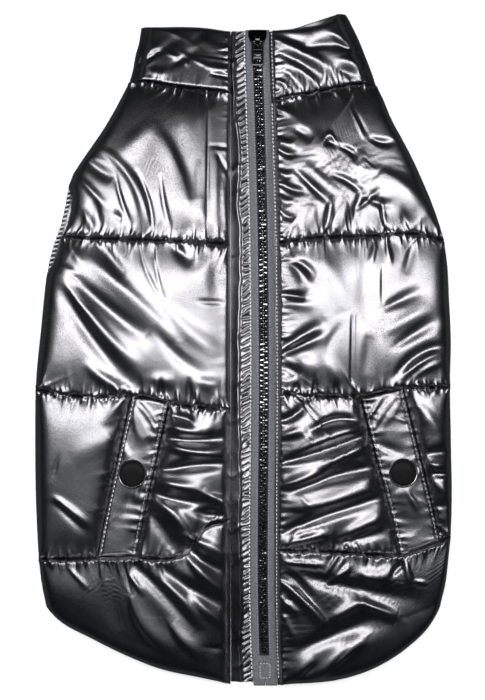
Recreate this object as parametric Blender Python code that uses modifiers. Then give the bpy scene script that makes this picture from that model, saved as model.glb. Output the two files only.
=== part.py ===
"""Zipped puffer coat for a small dog, laid flat on its belly panel with the zip upwards.

World frame: metres, +Z up, collar towards +Y, the wearer's left half of the picture at -X.
The origin lies under the middle of the coat, on the surface it rests on.
Sizes below are millimetres; MM turns them into metres where a mesh is made.
"""
import math

import bmesh
import bpy
from mathutils import Vector

MM = 0.001
COAT = "puffer_coat"
GAP = 0.3                    # between pieces that are sewn, pressed or laid against each other

# ---- layers, from the surface upwards ----
BELLY_THICK = 5.0            # padded belly panel
BACK_REST = BELLY_THICK + GAP
UNDER_COLLAR_THICK = 4.7
UNDER_COLLAR_SAG = 7.0       # its neck edge dips this far, behind the upper halves' edges
SEAM_THICK = 2.6             # padding stitched down at a quilting seam
SIDE_THICK = 2.2             # back panel at the side seam
ZIP_EDGE_THICK = 3.0         # back panel along the zip
HEM_THICK = 3.2
WELT_BED = 5.5               # padding held down under a pocket welt
WELT_THICK = 1.8

# ---- how far the padding takes to swell to its full loft ----
SEAM_SWELL = 33.0
SIDE_SWELL = 16.0
ZIP_SWELL = 22.0
WELT_SWELL = 13.0

# ---- grids ----
COLUMNS = 24                 # zip to side on a back panel
ROWS = 14                    # in each baffle
LINING_STEP = 3              # the plain inside has one column for this many outside
END_CROWDING = 0.45          # 0 spaces the rows evenly, 1 crowds them to the seams

# ---- gathers along the stitching ----
GATHER_HEIGHT = 1.0
GATHER_PEAK = 3.6            # distance from the stitches where a gather stands highest
GATHER_SPREAD = 3.8

# ---- outline: x of the two side edges at each level y ----
LEFT_SIDE = (  # x, y
    (-62, 144), (-66.5, 135.5), (-72.5, 124.5), (-79.5, 113.5), (-87, 103), (-93.5, 92),
    (-96, 81.5), (-98, 70.5), (-102, 59.5), (-105, 49), (-107, 35), (-109, 15), (-112, -16),
    (-112.5, -48.5), (-111.7, -91.5), (-110.5, -112), (-109, -128), (-107, -138))
RIGHT_SIDE = (  # x, y
    (72, 142), (75.5, 135.5), (80, 124.5), (86, 113.5), (91.5, 103), (96.5, 92), (101, 81.5),
    (105, 70.5), (108, 59.5), (110, 47), (111, 27.5), (112, 5.5), (111.5, -16), (112, -48.5),
    (112.2, -91.5), (111, -107), (109.5, -124), (106.5, -138))
CORNER_Y = -138.0            # where the sides turn into the rounded hem

# ---- zip ----
ZIP_CENTRE = (  # x, y
    (7.5, 181), (7.6, 160), (8.5, 132), (10.4, 60), (11, 0), (11, -156), (12, -182))
ZIP_TOP = 173.0
ZIP_END = -181.7
TEETH_TOP = 164.6
TEETH_END = -164.5
TEETH_HALF = 2.6             # half the width of the closed chain
TEETH_BOTTOM = 6.3
TEETH_THICK = 2.2
TAPE_THICK = 0.7
TAPE_LEFT = 6.5              # from the centre line to each tape's outer edge
TAPE_RIGHT = 6.3
LEFT_PANEL_EDGE = -7.0       # x where the left panel and collar stop beside the guard strip
GUARD_THICK = 2.9
GUARD_EDGE_THICK = 2.4
GUARD_GATHER = 0.55
GUARD_ROWS = 88
GUARD_COLUMNS = 4
ZIP_ROWS = 30
TAPE_CLOSES = 2.5            # length over which the tapes close up below the teeth

# ---- belly panel ----
BELLY_HEM = ((-111, -104), (-60, -102.5), (0, -100), (60, -97.5), (112, -95))  # x, y
BELLY_TOP = ((-62, 143.4), (72, 141.4))                                        # x, y
BELLY_SIDE_STEPS = 26
BELLY_HEM_STEPS = 16
HEM_STEP_START = 9.0         # the back panel comes down to the surface past the belly hem
HEM_STEP_RUN = 28.0          # over this length at the sides
HEM_STEP_EXTRA = 24.0        # and this much more along the zip
LEG_OPENINGS = (  # x, y of the middle, turn in degrees
    (-76.0, 65.0, 12.0),
    (84.0, 66.0, -14.0))
LEG_WIDE = 34.0
LEG_LONG = 46.0
LEG_EDGE_SHOWS = (88.0, 42.0, 2.6)   # the left leg opening's rim shows between these levels

# ---- quilting seams: (y at the zip, points between, y at the side) ----
LEFT_SEAMS = (
    (138, ((-14.5, 139), (-28.5, 140.5), (-41, 142), (-49.5, 143.7)), 144),
    (57, ((-32.5, 58), (-52.5, 59), (-73.5, 59.5)), 61),
    (-31.5, ((-36, -28.5), (-49.5, -25), (-83.5, -24.5)), -20.5),
    (-91, ((-17, -92.5), (-23, -97), (-28, -105.5), (-34, -109.5), (-61.5, -110.5)), -112))
RIGHT_SEAMS = (
    (134.5, ((36, 138), (50.5, 141), (61.5, 143)), 142),
    (57.5, ((39, 60), (67, 61), (92, 62)), 58.5),
    (-22.5, ((42.5, -24.5), (63, -24), (83.5, -20)), -19.5),
    (-107, ((48.5, -107.5), (84, -109), (96, -106)), -99.5))
LEFT_HEM = (-181, ((-21.5, -178), (-46, -172.5), (-60, -167), (-81.5, -156.5), (-100, -146)))
RIGHT_HEM = (-181.5, ((55, -178), (70.5, -172.5), (88, -161.5), (99, -151)))

# ---- pocket welts: the columns along a welt's two edges, and where those edges cross the seams
# above and below it, as parts of the seam's length ----
LEFT_WELT = ((10, 14), (0.315, 0.50), (0.53, 0.71))
RIGHT_WELT = ((14, 18), (0.48, 0.72), (0.70, 0.925))

BAFFLES = (  # loft of each baffle's crown, from the collar down
    14.0, 14.5, 13.5, 12.5)

# ---- largest folds: start, end, height (minus for a crease), half width ----
LEFT_FOLDS = (
    (-19, 118, -20, 66, -2.2, 4.0),
    (-60, 100, -38, 68, 1.9, 6.0),
    (-80, 92, -70, 66, 1.6, 6.0),
    (-30, 108, -31, 72, 1.5, 6.0),
    (-96, 44, -58, -6, 1.9, 7.0),
    (-88, 20, -60, -20, -1.8, 5.0),
    (-64, 48, -30, 10, 1.5, 7.0),
    (-38, 40, -16, -16, -1.5, 5.0),
    (-82, -9, -61, -23, 1.7, 5.0),
    (-36, -44, -12, -47, 1.9, 5.0),
    (-34, -58, -10, -58, -1.9, 4.0),
    (-36, -68, -10, -70, 1.9, 5.0),
    (-40, -84, -14, -82, -1.7, 4.0),
    (-100, -50, -97, -92, -1.5, 6.0),
    (-62, -118, -26, -152, 1.9, 5.0),
    (-44, -114, -14, -140, -1.9, 4.5),
    (-82, -120, -46, -160, 1.6, 6.0),
    (-26, -102, -10, -116, 1.8, 4.5))
RIGHT_FOLDS = (
    (28, 98, 50, 76, -1.9, 5.0),
    (40, 118, 74, 104, 1.7, 6.0),
    (66, 92, 82, 70, 1.6, 6.0),
    (22, 84, 40, 66, 1.6, 5.0),
    (24, 2, 48, 20, 1.9, 5.0),
    (30, -14, 62, 12, -1.8, 5.0),
    (86, -14, 108, 4, 1.9, 6.0),
    (57, 40, 58, -10, -1.4, 5.0),
    (24, -44, 52, -32, 1.9, 5.0),
    (22, -60, 60, -42, -1.9, 4.5),
    (24, -74, 62, -58, 1.9, 5.5),
    (24, -90, 66, -76, -1.8, 4.5),
    (28, -102, 62, -92, 1.7, 5.0),
    (98, -58, 109, -68, -1.5, 4.0),
    (24, -122, 46, -146, 1.9, 5.5),
    (52, -124, 66, -136, 1.7, 7.0),
    (24, -180, 62, -155, 1.6, 5.0),
    (40, -120, 60, -150, -1.8, 4.5))

# ---- collar ----
COLLAR_TOP_LEFT = (172, ((-20, 174),))                       # y at the zip, then x, y
COLLAR_TOP_RIGHT = (172, ((30, 174), (45, 177.5)))
COLLAR_SIDE_LEFT = ((-55.5, 174.5), (-56.5, 167.5), (-59.5, 153.5), (-62, 144))
COLLAR_SIDE_RIGHT = ((55.5, 181.7), (62.5, 167), (68.5, 152.5), (72, 142))
COLLAR_LOFT = 9.0
COLLAR_EDGE_THICK = 3.4
COLLAR_FOLD = 5.0            # radius of the side folds, seen from above
COLLAR_SIDE_LOFT = 0.35      # part of the loft that is left at a side fold
COLLAR_SWELL = 13.0
COLLAR_COLUMNS = 12
COLLAR_ROWS = 8
FOLD_STEPS = 4
UNDER_STEPS = 8

# ---- slider, pull and snaps ----
SLIDER_Y = (165.0, 172.7)
SLIDER_HALF = 4.85
SLIDER_POST = 1.1
SLIDER_PLATE = 0.8
SLIDER_Z = (5.2, 9.6)
BRIDGE_Y = (165.0, 170.2)
BRIDGE_HALF = 1.3
BRIDGE_WALL = 0.7
BRIDGE_CLEAR = 1.9           # room under the bridge for the pull's bar
PULL_BAR_Y = 166.6
PULL_HALF = 3.25
PULL_LONG = 13.4             # from the bar's middle to the tip
PULL_THICK = 1.2
PULL_WINDOW = (1.7, 4.3)     # half width, and how far it reaches from the bar's middle
SNAP_CENTRES = {"left": (-59.5, -66.0), "right": (85.5, -65.5)}   # x, y
SNAP_REACH = 9.0             # the cap rests on the welt's highest point this near
SNAP_STEPS = 24
SNAP_PROFILE = (  # radius, height
    (0.0, 3.0), (3.0, 2.9), (4.9, 2.5), (5.5, 1.9), (6.1, 2.3), (7.0, 2.1),
    (7.55, 1.4), (7.55, 0.4), (7.2, 0.0), (0.0, 0.0))

FINISHES = {  # colour, metallic, roughness
    "shell": ((0.23, 0.23, 0.26, 1), 0.9, 0.3),
    "tape": ((0.12, 0.125, 0.14, 1), 0.0, 0.8),
    "teeth": ((0.015, 0.015, 0.017, 1), 0.0, 0.2),
    "hardware": ((0.02, 0.02, 0.022, 1), 0.8, 0.3)}


# ------------------------------------------------------------------ lines
class Line:
    """A smooth line through points of the plan, measured along its length from 0 to 1."""

    def __init__(self, points, steps=6):
        points = [Vector(point) for point in points]
        gaps = [(b - a).length for a, b in zip(points, points[1:])]
        chords = [(b - a) / gap for a, b, gap in zip(points, points[1:], gaps)]
        slopes = [chords[0]]
        for i in range(1, len(chords)):
            share = gaps[i - 1] / (gaps[i - 1] + gaps[i])
            slopes.append(chords[i - 1].lerp(chords[i], share))
        slopes.append(chords[-1])
        self.points = [points[0]]
        for i, gap in enumerate(gaps):
            for k in range(1, steps + 1):
                self.points.append(span(points[i], points[i + 1], slopes[i] * gap,
                                        slopes[i + 1] * gap, k / steps))
        self.reach = [0.0]
        for a, b in zip(self.points, self.points[1:]):
            self.reach.append(self.reach[-1] + (b - a).length)

    def at(self, part):
        """The point at this part of the length."""
        want = min(max(part, 0.0), 1.0) * self.reach[-1]
        i = 1
        while i < len(self.reach) - 1 and self.reach[i] < want:
            i += 1
        step = self.reach[i] - self.reach[i - 1]
        return self.points[i - 1].lerp(self.points[i], (want - self.reach[i - 1]) / step)

    def across(self, value, axis):
        """The other coordinate where the line passes this x (axis 0) or y (axis 1)."""
        for a, b in zip(self.points, self.points[1:]):
            low, high = sorted((a[axis], b[axis]))
            if low <= value <= high and high > low:
                return a.lerp(b, (value - a[axis]) / (b[axis] - a[axis]))[1 - axis]
        return min((self.points[0], self.points[-1]), key=lambda p: abs(p[axis] - value))[1 - axis]


def span(a, b, slope_a, slope_b, t):
    """Cubic from a to b that leaves and arrives with the given slopes."""
    return (a * (2 * t ** 3 - 3 * t ** 2 + 1) + slope_a * (t ** 3 - 2 * t ** 2 + t)
            + b * (3 * t ** 2 - 2 * t ** 3) + slope_b * (t ** 3 - t ** 2))


def rise(distance, width):
    """0 at an edge, 1 from width on, along a quarter of an ellipse."""
    left = 1 - min(max(distance / width, 0.0), 1.0)
    return math.sqrt(1 - left * left)


def ramp(value, start, end):
    """0 before start, 1 past end, straight between."""
    return min(max((value - start) / (end - start), 0.0), 1.0)


zip_line = Line(ZIP_CENTRE)
hem_line = Line(BELLY_HEM)
left_side = Line(LEFT_SIDE)
right_side = Line(RIGHT_SIDE)


def zip_x(y):
    return zip_line.across(y, 1)


def left_panel_x(y):
    return LEFT_PANEL_EDGE


def right_panel_x(y):
    return zip_x(y) + TAPE_RIGHT + GAP


def left_back_x(y):
    """The left back panel's side edge, drawn in where the leg opening's rim shows past it."""
    high, low, inset = LEG_EDGE_SHOWS
    shows = ramp(y, low, low + 8) * (1 - ramp(y, high - 8, high))
    return left_side.across(y, 1) + inset * shows


def right_back_x(y):
    return right_side.across(y, 1)


def rest_height(x, y):
    """Height of what the back lies on: the belly panel, and past its hem the surface."""
    past_hem = hem_line.across(x, 0) - y
    run = HEM_STEP_RUN + HEM_STEP_EXTRA * (1 - (x / BELLY_HEM[-1][0]) ** 2)
    return BACK_REST * (1 - ramp(past_hem, HEM_STEP_START, HEM_STEP_START + run))


# ------------------------------------------------------------------ grids
def levels(high, low, count):
    """Evenly spaced levels from high to low."""
    return [high + (low - high) * i / count for i in range(count + 1)]


def edge_line(x_of, high, low, steps=12):
    """The stretch of a panel's edge between two levels."""
    return Line([(x_of(y), y) for y in levels(high, low, steps)], steps=1)


def seam_line(seam, zip_x_of, side_x_of):
    zip_y, between, side_y = seam
    return Line([(zip_x_of(zip_y), zip_y), *between, (side_x_of(side_y), side_y)])


def patch_point(top, bottom, inner, outer, top_part, bottom_part, down):
    """A point of the patch between four edge lines."""
    across = top_part + (bottom_part - top_part) * down
    ruled = top.at(top_part).lerp(bottom.at(bottom_part), down)
    sides = inner.at(down).lerp(outer.at(down), across)
    corners = top.at(0).lerp(top.at(1), across).lerp(bottom.at(0).lerp(bottom.at(1), across), down)
    return ruled + sides - corners


def crowded(i, count):
    """Row i's place between two seams, with the rows closer together near the seams."""
    even = i / count
    eased = 0.5 - 0.5 * math.cos(math.pi * even)
    return even + (eased - even) * END_CROWDING


def column_parts(welt_columns=(), crossings=()):
    """Each column's place along a seam, with the welt's columns where the welt crosses it."""
    stops = [(0, 0.0), *zip(welt_columns, crossings), (COLUMNS, 1.0)]
    parts = []
    for i in range(COLUMNS + 1):
        (a, part_a), (b, part_b) = next(pair for pair in zip(stops, stops[1:]) if i <= pair[1][0])
        parts.append(part_a + (part_b - part_a) * (i - a) / (b - a))
    return parts


def fold_height(folds, point):
    """What the folds and creases add at a point of the plan."""
    total = 0.0
    for x0, y0, x1, y1, height, half in folds:
        start, along = Vector((x0, y0)), Vector((x1 - x0, y1 - y0))
        part = min(max((point - start).dot(along) / along.length_squared, 0.0), 1.0)
        off = (point - start - along * part).length / half
        taper = 0.35 + 0.65 * math.sin(math.pi * part)
        total += height * taper * math.exp(-off * off)
    return total


def gather(distance, turn, seed):
    """Height of a gather: ridge and furrow by turns, uneven, highest close to the stitches."""
    uneven = 0.7 + 0.3 * math.sin(2.3 * turn + 1.7 * seed)
    off = (distance - GATHER_PEAK) / GATHER_SPREAD
    return GATHER_HEIGHT * uneven * (1 if turn % 2 else -1) * math.exp(-off * off)


def back_panel_points(seams, hem, zip_x_of, side_x_of, welt, folds):
    """Rows of outer points of one back panel, collar seam to hem, zip to side."""
    lines = [seam_line(seam, zip_x_of, side_x_of) for seam in seams]
    hem_zip_y, hem_between = hem
    lines.append(Line([(zip_x_of(hem_zip_y), hem_zip_y), *hem_between,
                       (side_x_of(CORNER_Y), CORNER_Y)]))
    welt_columns, above, below = welt
    parts = [column_parts(), column_parts(), column_parts(welt_columns, above),
             column_parts(welt_columns, below), column_parts()]
    rows = []
    for baffle, loft in enumerate(BAFFLES):
        top, bottom = lines[baffle], lines[baffle + 1]
        inner = edge_line(zip_x_of, top.at(0).y, bottom.at(0).y)
        outer = edge_line(side_x_of, top.at(1).y, bottom.at(1).y)
        last = baffle == len(BAFFLES) - 1
        for i in range(0 if baffle == 0 else 1, ROWS + 1):
            down = crowded(i, ROWS)
            plan = [patch_point(top, bottom, inner, outer, parts[baffle][c], parts[baffle + 1][c],
                                down) for c in range(COLUMNS + 1)]
            row = []
            for c, point in enumerate(plan):
                to_top = (point - top.at(parts[baffle][c])).length
                to_bottom = (point - bottom.at(parts[baffle + 1][c])).length
                to_zip = (point - plan[0]).length
                to_side = (point - plan[-1]).length
                edge = HEM_THICK if last and to_bottom < to_top else SEAM_THICK
                swell = (rise(to_top, SEAM_SWELL) * rise(to_bottom, SEAM_SWELL)
                         * rise(to_zip, ZIP_SWELL) * rise(to_side, SIDE_SWELL))
                thick = edge + (loft - edge) * swell
                if to_zip < ZIP_SWELL:
                    thick = max(thick, ZIP_EDGE_THICK * (1 - rise(to_zip, ZIP_SWELL)))
                thick -= (SEAM_THICK - SIDE_THICK) * (1 - rise(to_side, SIDE_SWELL))
                puckers = gather(to_zip, len(rows), baffle) * rise(min(to_top, to_bottom), 4)
                if not (last and to_bottom < to_top):
                    spacing = (point - plan[c - 1 if c else 1]).length
                    puckers += (gather(min(to_top, to_bottom), c, baffle) * rise(to_zip, 6)
                                * ramp(spacing, 1, GATHER_PEAK))
                thick += (puckers + fold_height(folds, point) * swell) * rise(to_side, 8)
                if baffle == 2:
                    thick = pressed_by_welt(thick, c, plan, welt_columns)
                z = rest_height(point.x, point.y) + max(thick, 1.6)
                row.append(Vector((point.x, point.y, z)))
            rows.append(row)
    return rows


def pressed_by_welt(thick, column, plan, welt_columns):
    """Padding thickness beside and under a pocket welt, whose two edges are stitched down."""
    first, second = welt_columns
    if first <= column <= second:
        return min(thick, WELT_BED)
    near = plan[first] if column < first else plan[second]
    bed = min(thick, WELT_BED)
    return bed + (thick - bed) * rise((plan[column] - near).length, WELT_SWELL)


# ------------------------------------------------------------------ meshes
def finish(name):
    """The material of this name, made the first time it is asked for."""
    material = bpy.data.materials.get(name)
    if material is None:
        colour, metallic, roughness = FINISHES[name]
        material = bpy.data.materials.new(name)
        material.use_nodes = True
        shader = material.node_tree.nodes["Principled BSDF"]
        shader.inputs["Base Color"].default_value = colour
        shader.inputs["Metallic"].default_value = metallic
        shader.inputs["Roughness"].default_value = roughness
        material.diffuse_color = colour
    return material


def add_object(name, mesh, finish_name):
    piece = bpy.data.objects.new(name, mesh)
    mesh.materials.clear()
    mesh.materials.append(finish(finish_name))
    coat.objects.link(piece)
    return piece


def wall(name, outer, inner, inner_step, finish_name):
    """A closed wall between a fine outer grid and an inner grid with every inner_step-th column."""
    mesh = bmesh.new()
    top = [[mesh.verts.new(p * MM) for p in row] for row in outer]
    low = [[mesh.verts.new(p * MM) for p in row] for row in inner]
    for grid in (top, low):
        for row, after in zip(grid, grid[1:]):
            for i in range(len(row) - 1):
                mesh.faces.new((row[i], row[i + 1], after[i + 1], after[i]))
    for r in range(len(top) - 1):
        for end in (0, -1):
            mesh.faces.new((top[r][end], top[r + 1][end], low[r + 1][end], low[r][end]))
    for end in (0, -1):
        for k in range(len(low[end]) - 1):
            rim_cell(mesh, top[end][k * inner_step:(k + 1) * inner_step + 1], low[end][k:k + 2])
    bmesh.ops.recalc_face_normals(mesh, faces=mesh.faces)
    data = bpy.data.meshes.new(name)
    mesh.to_mesh(data)
    mesh.free()
    data.shade_smooth()
    return add_object(name, data, finish_name)


def rim_cell(mesh, fine, coarse):
    """Closes a rim between several outer points and the two inner points below them."""
    middle = len(fine) // 2
    for i in range(len(fine) - 1):
        mesh.faces.new((fine[i], fine[i + 1], coarse[0] if i < middle else coarse[1]))
    mesh.faces.new((fine[middle], coarse[1], coarse[0]))


def flat_piece(name, outlines, bottom, top, bevel, finish_name):
    """A flat plate with holes: the first outline is its edge and the others are cut through."""
    curve = bpy.data.curves.new(name, "CURVE")
    curve.dimensions = "2D"
    curve.fill_mode = "BOTH"
    curve.extrude = (top - bottom) / 2 * MM
    for outline in outlines:
        spline = curve.splines.new("POLY")
        spline.points.add(len(outline) - 1)
        for point, (x, y) in zip(spline.points, outline):
            point.co = (x * MM, y * MM, 0, 1)
        spline.use_cyclic_u = True
    holder = bpy.data.objects.new(name + "_outline", curve)
    coat.objects.link(holder)
    bpy.context.view_layer.update()
    data = bpy.data.meshes.new_from_object(holder.evaluated_get(
        bpy.context.evaluated_depsgraph_get()))
    bpy.data.objects.remove(holder)
    mesh = bmesh.new()
    mesh.from_mesh(data)
    bmesh.ops.remove_doubles(mesh, verts=mesh.verts, dist=0.01 * MM)
    bmesh.ops.translate(mesh, verts=mesh.verts, vec=(0, 0, (bottom + top) / 2 * MM))
    bmesh.ops.recalc_face_normals(mesh, faces=mesh.faces)
    mesh.to_mesh(data)
    mesh.free()
    piece = add_object(name, data, finish_name)
    if bevel:
        edges = piece.modifiers.new("rounded_edges", "BEVEL")
        edges.width = bevel * MM
        edges.segments = 1
        edges.limit_method = "ANGLE"
        edges.angle_limit = math.radians(50)
    return piece


# ------------------------------------------------------------------ pieces
def back_panel(name, points):
    """A padded panel: quilted, gathered and folded outside, plain inside."""
    lining = [[Vector((p.x, p.y, rest_height(p.x, p.y))) for p in row[::LINING_STEP]]
              for row in points]
    return wall(name, points, lining, LINING_STEP, "shell")


def belly_panel():
    """The plain padded panel underneath, with the two leg openings cut through."""
    edge = []
    left_top, right_top = BELLY_TOP
    for y in levels(left_top[1], hem_line.at(0).y, BELLY_SIDE_STEPS):
        edge.append((left_side.across(y, 1), y))
    edge += [tuple(hem_line.at(i / BELLY_HEM_STEPS)) for i in range(1, BELLY_HEM_STEPS)]
    for y in levels(hem_line.at(1).y, right_top[1], BELLY_SIDE_STEPS):
        edge.append((right_side.across(y, 1), y))
    openings = [leg_opening(x, y, turn) for x, y, turn in LEG_OPENINGS]
    return flat_piece("belly", [edge, *openings], 0.0, BELLY_THICK, 1.6, "shell")


def leg_opening(x, y, turn, steps=24):
    """An oval beside the side seam, its long axis along the seam."""
    tilt = math.radians(-turn)
    oval = []
    for i in range(steps):
        angle = 2 * math.pi * i / steps
        across, along = LEG_WIDE / 2 * math.cos(angle), LEG_LONG / 2 * math.sin(angle)
        oval.append((x + across * math.cos(tilt) - along * math.sin(tilt),
                     y + across * math.sin(tilt) + along * math.cos(tilt)))
    return oval


def collar_half(top, seam, side, zip_x_of, inset):
    """Outer points of half the collar's upper layer, rows from the neck edge to the seam."""
    zip_y, beyond = top
    corner_x, corner_y = side[0]
    top_line = Line([(zip_x_of(zip_y), zip_y), *beyond, (corner_x + inset, corner_y)])
    reach = 1 - abs(inset) / seam.reach[-1]
    bottom = Line([seam.at(reach * i / 16) + Vector((0, GAP)) for i in range(17)], steps=1)
    seam_zip_y = seam.at(0).y
    side_line = Line([*((x + inset, y) for x, y in side[:-1]), bottom.at(1)])
    inner = edge_line(zip_x_of, zip_y, seam_zip_y + GAP)
    rows = []
    for i in range(COLLAR_ROWS + 1):
        down = crowded(i, COLLAR_ROWS)
        plan = [patch_point(top_line, bottom, inner, side_line, c / COLLAR_COLUMNS,
                            c / COLLAR_COLUMNS, down) for c in range(COLLAR_COLUMNS + 1)]
        row = []
        for c, point in enumerate(plan):
            part = c / COLLAR_COLUMNS
            to_top = (point - top_line.at(part)).length
            to_bottom = (point - bottom.at(part)).length
            to_side = (point - plan[-1]).length
            edge = COLLAR_EDGE_THICK if to_top < to_bottom else SEAM_THICK
            swell = (rise(to_top, COLLAR_SWELL) * rise(to_bottom, COLLAR_SWELL)
                     * rise((point - plan[0]).length, COLLAR_SWELL)
                     * (COLLAR_SIDE_LOFT + (1 - COLLAR_SIDE_LOFT) * rise(to_side, COLLAR_SWELL)))
            thick = edge + (COLLAR_LOFT - edge) * swell
            thick += gather(to_bottom, c, 5) * ramp(to_side, 0, 6)
            row.append(Vector((point.x, point.y, BACK_REST + max(thick, 1.6))))
        rows.append(row)
    return rows


def collar_band(left, right):
    """The collar: two upper halves joined round the side folds by the layer underneath."""
    outer, inner = [], []
    for r, (row_left, row_right) in enumerate(zip(left, right)):
        end_left, end_right = row_left[-1], row_right[-1]
        sag = UNDER_COLLAR_SAG * (1 - r / COLLAR_ROWS)
        outer_row = list(row_left)
        inner_row = [Vector((p.x, p.y, BACK_REST)) for p in row_left]
        outer_row += fold_points(end_left, COLLAR_FOLD, end_left.z / 2, end_left.z / 2, -1)
        middle = (BACK_REST + UNDER_COLLAR_THICK) / 2
        slit = (BACK_REST - UNDER_COLLAR_THICK) / 2
        inner_row += fold_points(end_left, slit, middle, slit, -1)
        for i in range(1, UNDER_STEPS):
            between = end_left.lerp(end_right, i / UNDER_STEPS)
            between.y -= sag * (1 - (2 * i / UNDER_STEPS - 1) ** 4)
            outer_row.append(Vector((between.x, between.y, 0)))
            inner_row.append(Vector((between.x, between.y, UNDER_COLLAR_THICK)))
        outer_row += reversed(fold_points(end_right, COLLAR_FOLD, end_right.z / 2,
                                          end_right.z / 2, 1))
        inner_row += reversed(fold_points(end_right, slit, middle, slit, 1))
        outer_row += reversed(row_right)
        inner_row += [Vector((p.x, p.y, BACK_REST)) for p in reversed(row_right)]
        outer.append(outer_row)
        inner.append(inner_row)
    return wall("collar", outer, inner, 1, "shell")


def fold_points(end, reach, middle, half, side):
    """Points round a side fold, from just below its upper end to its lower end."""
    points = []
    for i in range(1, FOLD_STEPS + 1):
        angle = math.pi * i / FOLD_STEPS
        points.append(Vector((end.x + side * reach * math.sin(angle), end.y,
                              middle + half * math.cos(angle))))
    return points


def strip(name, edges, ys, columns, lift, thick_of, finish_name):
    """A strip along the zip between two edges, given as functions of y, over a plain underside."""
    left_of, right_of = edges
    outer, inner = [], []
    for r, y in enumerate(ys):
        z = rest_height(zip_x(y), y) + lift
        left, right = left_of(y), right_of(y)
        inner.append([Vector((left, y, z)), Vector((right, y, z))])
        outer.append([Vector((left + (right - left) * c / columns, y, z + thick_of(r, c)))
                      for c in range(columns + 1)])
    return wall(name, outer, inner, columns, finish_name)


def zip_parts():
    """Guard strip, two tapes and two rows of teeth, all following the zip's centre line."""
    def tape_inner(y):
        """The tapes stand off the teeth and close up below them."""
        closing = ramp(-y, GAP - TEETH_END, GAP + TAPE_CLOSES - TEETH_END)
        return TEETH_HALF + GAP - (TEETH_HALF + GAP / 2) * closing

    def guard_thick(row, column):
        """Thin at both edges, and gathered more and more towards the tape's stitching."""
        if column in (0, GUARD_COLUMNS):
            return GUARD_EDGE_THICK
        turn = 1 if row % 2 else -1
        return GUARD_THICK + GUARD_GATHER * turn * column / (GUARD_COLUMNS - 1)

    strip("zip_guard", (lambda y: LEFT_PANEL_EDGE + GAP, lambda y: zip_x(y) - TAPE_LEFT - GAP),
          levels(ZIP_TOP - 1, ZIP_END + 2, GUARD_ROWS), GUARD_COLUMNS, 0, guard_thick, "shell")
    tape_levels = (levels(ZIP_TOP, TEETH_END - GAP, ZIP_ROWS)
                   + levels(TEETH_END - GAP - TAPE_CLOSES, ZIP_END, 2))
    tape_lift = TEETH_BOTTOM + (TEETH_THICK - TAPE_THICK) / 2 - BACK_REST
    teeth_levels = levels(TEETH_TOP, TEETH_END, ZIP_ROWS)
    teeth_lift = TEETH_BOTTOM - BACK_REST
    sides = (
        ("left", lambda y: zip_x(y) - TAPE_LEFT, lambda y: zip_x(y) - tape_inner(y),
         lambda y: zip_x(y) - TEETH_HALF, lambda y: zip_x(y) - GAP / 2),
        ("right", lambda y: zip_x(y) + tape_inner(y), lambda y: zip_x(y) + TAPE_RIGHT,
         lambda y: zip_x(y) + GAP / 2, lambda y: zip_x(y) + TEETH_HALF))
    for side, tape_from, tape_to, teeth_from, teeth_to in sides:
        strip("zip_tape_" + side, (tape_from, tape_to), tape_levels, 1, tape_lift,
              lambda row, column: TAPE_THICK, "tape")
        strip("zip_teeth_" + side, (teeth_from, teeth_to), teeth_levels, 1, teeth_lift,
              lambda row, column: TEETH_THICK, "teeth")


def slider():
    """Two plates on a post, and the bridge that holds the pull's bar."""
    low, high = SLIDER_Z
    middle = (SLIDER_Y[0] + SLIDER_Y[1]) / 2
    x = zip_x(middle)
    body = block("zip_slider", x - SLIDER_POST, x + SLIDER_POST, SLIDER_Y, (low, high))
    joined = [block("slider_plate_low", x - SLIDER_HALF, x + SLIDER_HALF, SLIDER_Y,
                    (low, low + SLIDER_PLATE)),
              block("slider_plate_high", x - SLIDER_HALF, x + SLIDER_HALF, SLIDER_Y,
                    (high - SLIDER_PLATE, high))]
    bridge_top = high + BRIDGE_CLEAR + 1.0
    bridge = block("slider_bridge", x - BRIDGE_HALF, x + BRIDGE_HALF, BRIDGE_Y,
                   (high - 0.4, bridge_top))
    window = block("slider_window", x - 2 * BRIDGE_HALF, x + 2 * BRIDGE_HALF,
                   (BRIDGE_Y[0] + BRIDGE_WALL, BRIDGE_Y[1] - BRIDGE_WALL),
                   (high, high + BRIDGE_CLEAR))
    combine(bridge, window, "DIFFERENCE")
    joined.append(bridge)
    for other in joined:
        combine(body, other, "UNION")
    edges = body.modifiers.new("rounded_edges", "BEVEL")
    edges.width = 0.18 * MM
    edges.segments = 1
    edges.limit_method = "ANGLE"
    edges.angle_limit = math.radians(50)
    return body


def block(name, x0, x1, y_span, z_span):
    """A box between two corners."""
    mesh = bmesh.new()
    bmesh.ops.create_cube(mesh, size=1)
    size = Vector((x1 - x0, y_span[1] - y_span[0], z_span[1] - z_span[0])) * MM
    centre = Vector((x0 + x1, y_span[0] + y_span[1], z_span[0] + z_span[1])) * MM / 2
    bmesh.ops.scale(mesh, verts=mesh.verts, vec=size)
    bmesh.ops.translate(mesh, verts=mesh.verts, vec=centre)
    data = bpy.data.meshes.new(name)
    mesh.to_mesh(data)
    mesh.free()
    return add_object(name, data, "hardware")


def combine(body, tool, operation):
    """Applies a Boolean with another object, which is then removed."""
    cut = body.modifiers.new("combine", "BOOLEAN")
    cut.operation = operation
    cut.object = tool
    bpy.context.view_layer.update()
    result = bpy.data.meshes.new_from_object(body.evaluated_get(
        bpy.context.evaluated_depsgraph_get()))
    body.modifiers.clear()
    body.data = result
    bpy.data.objects.remove(tool)


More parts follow.
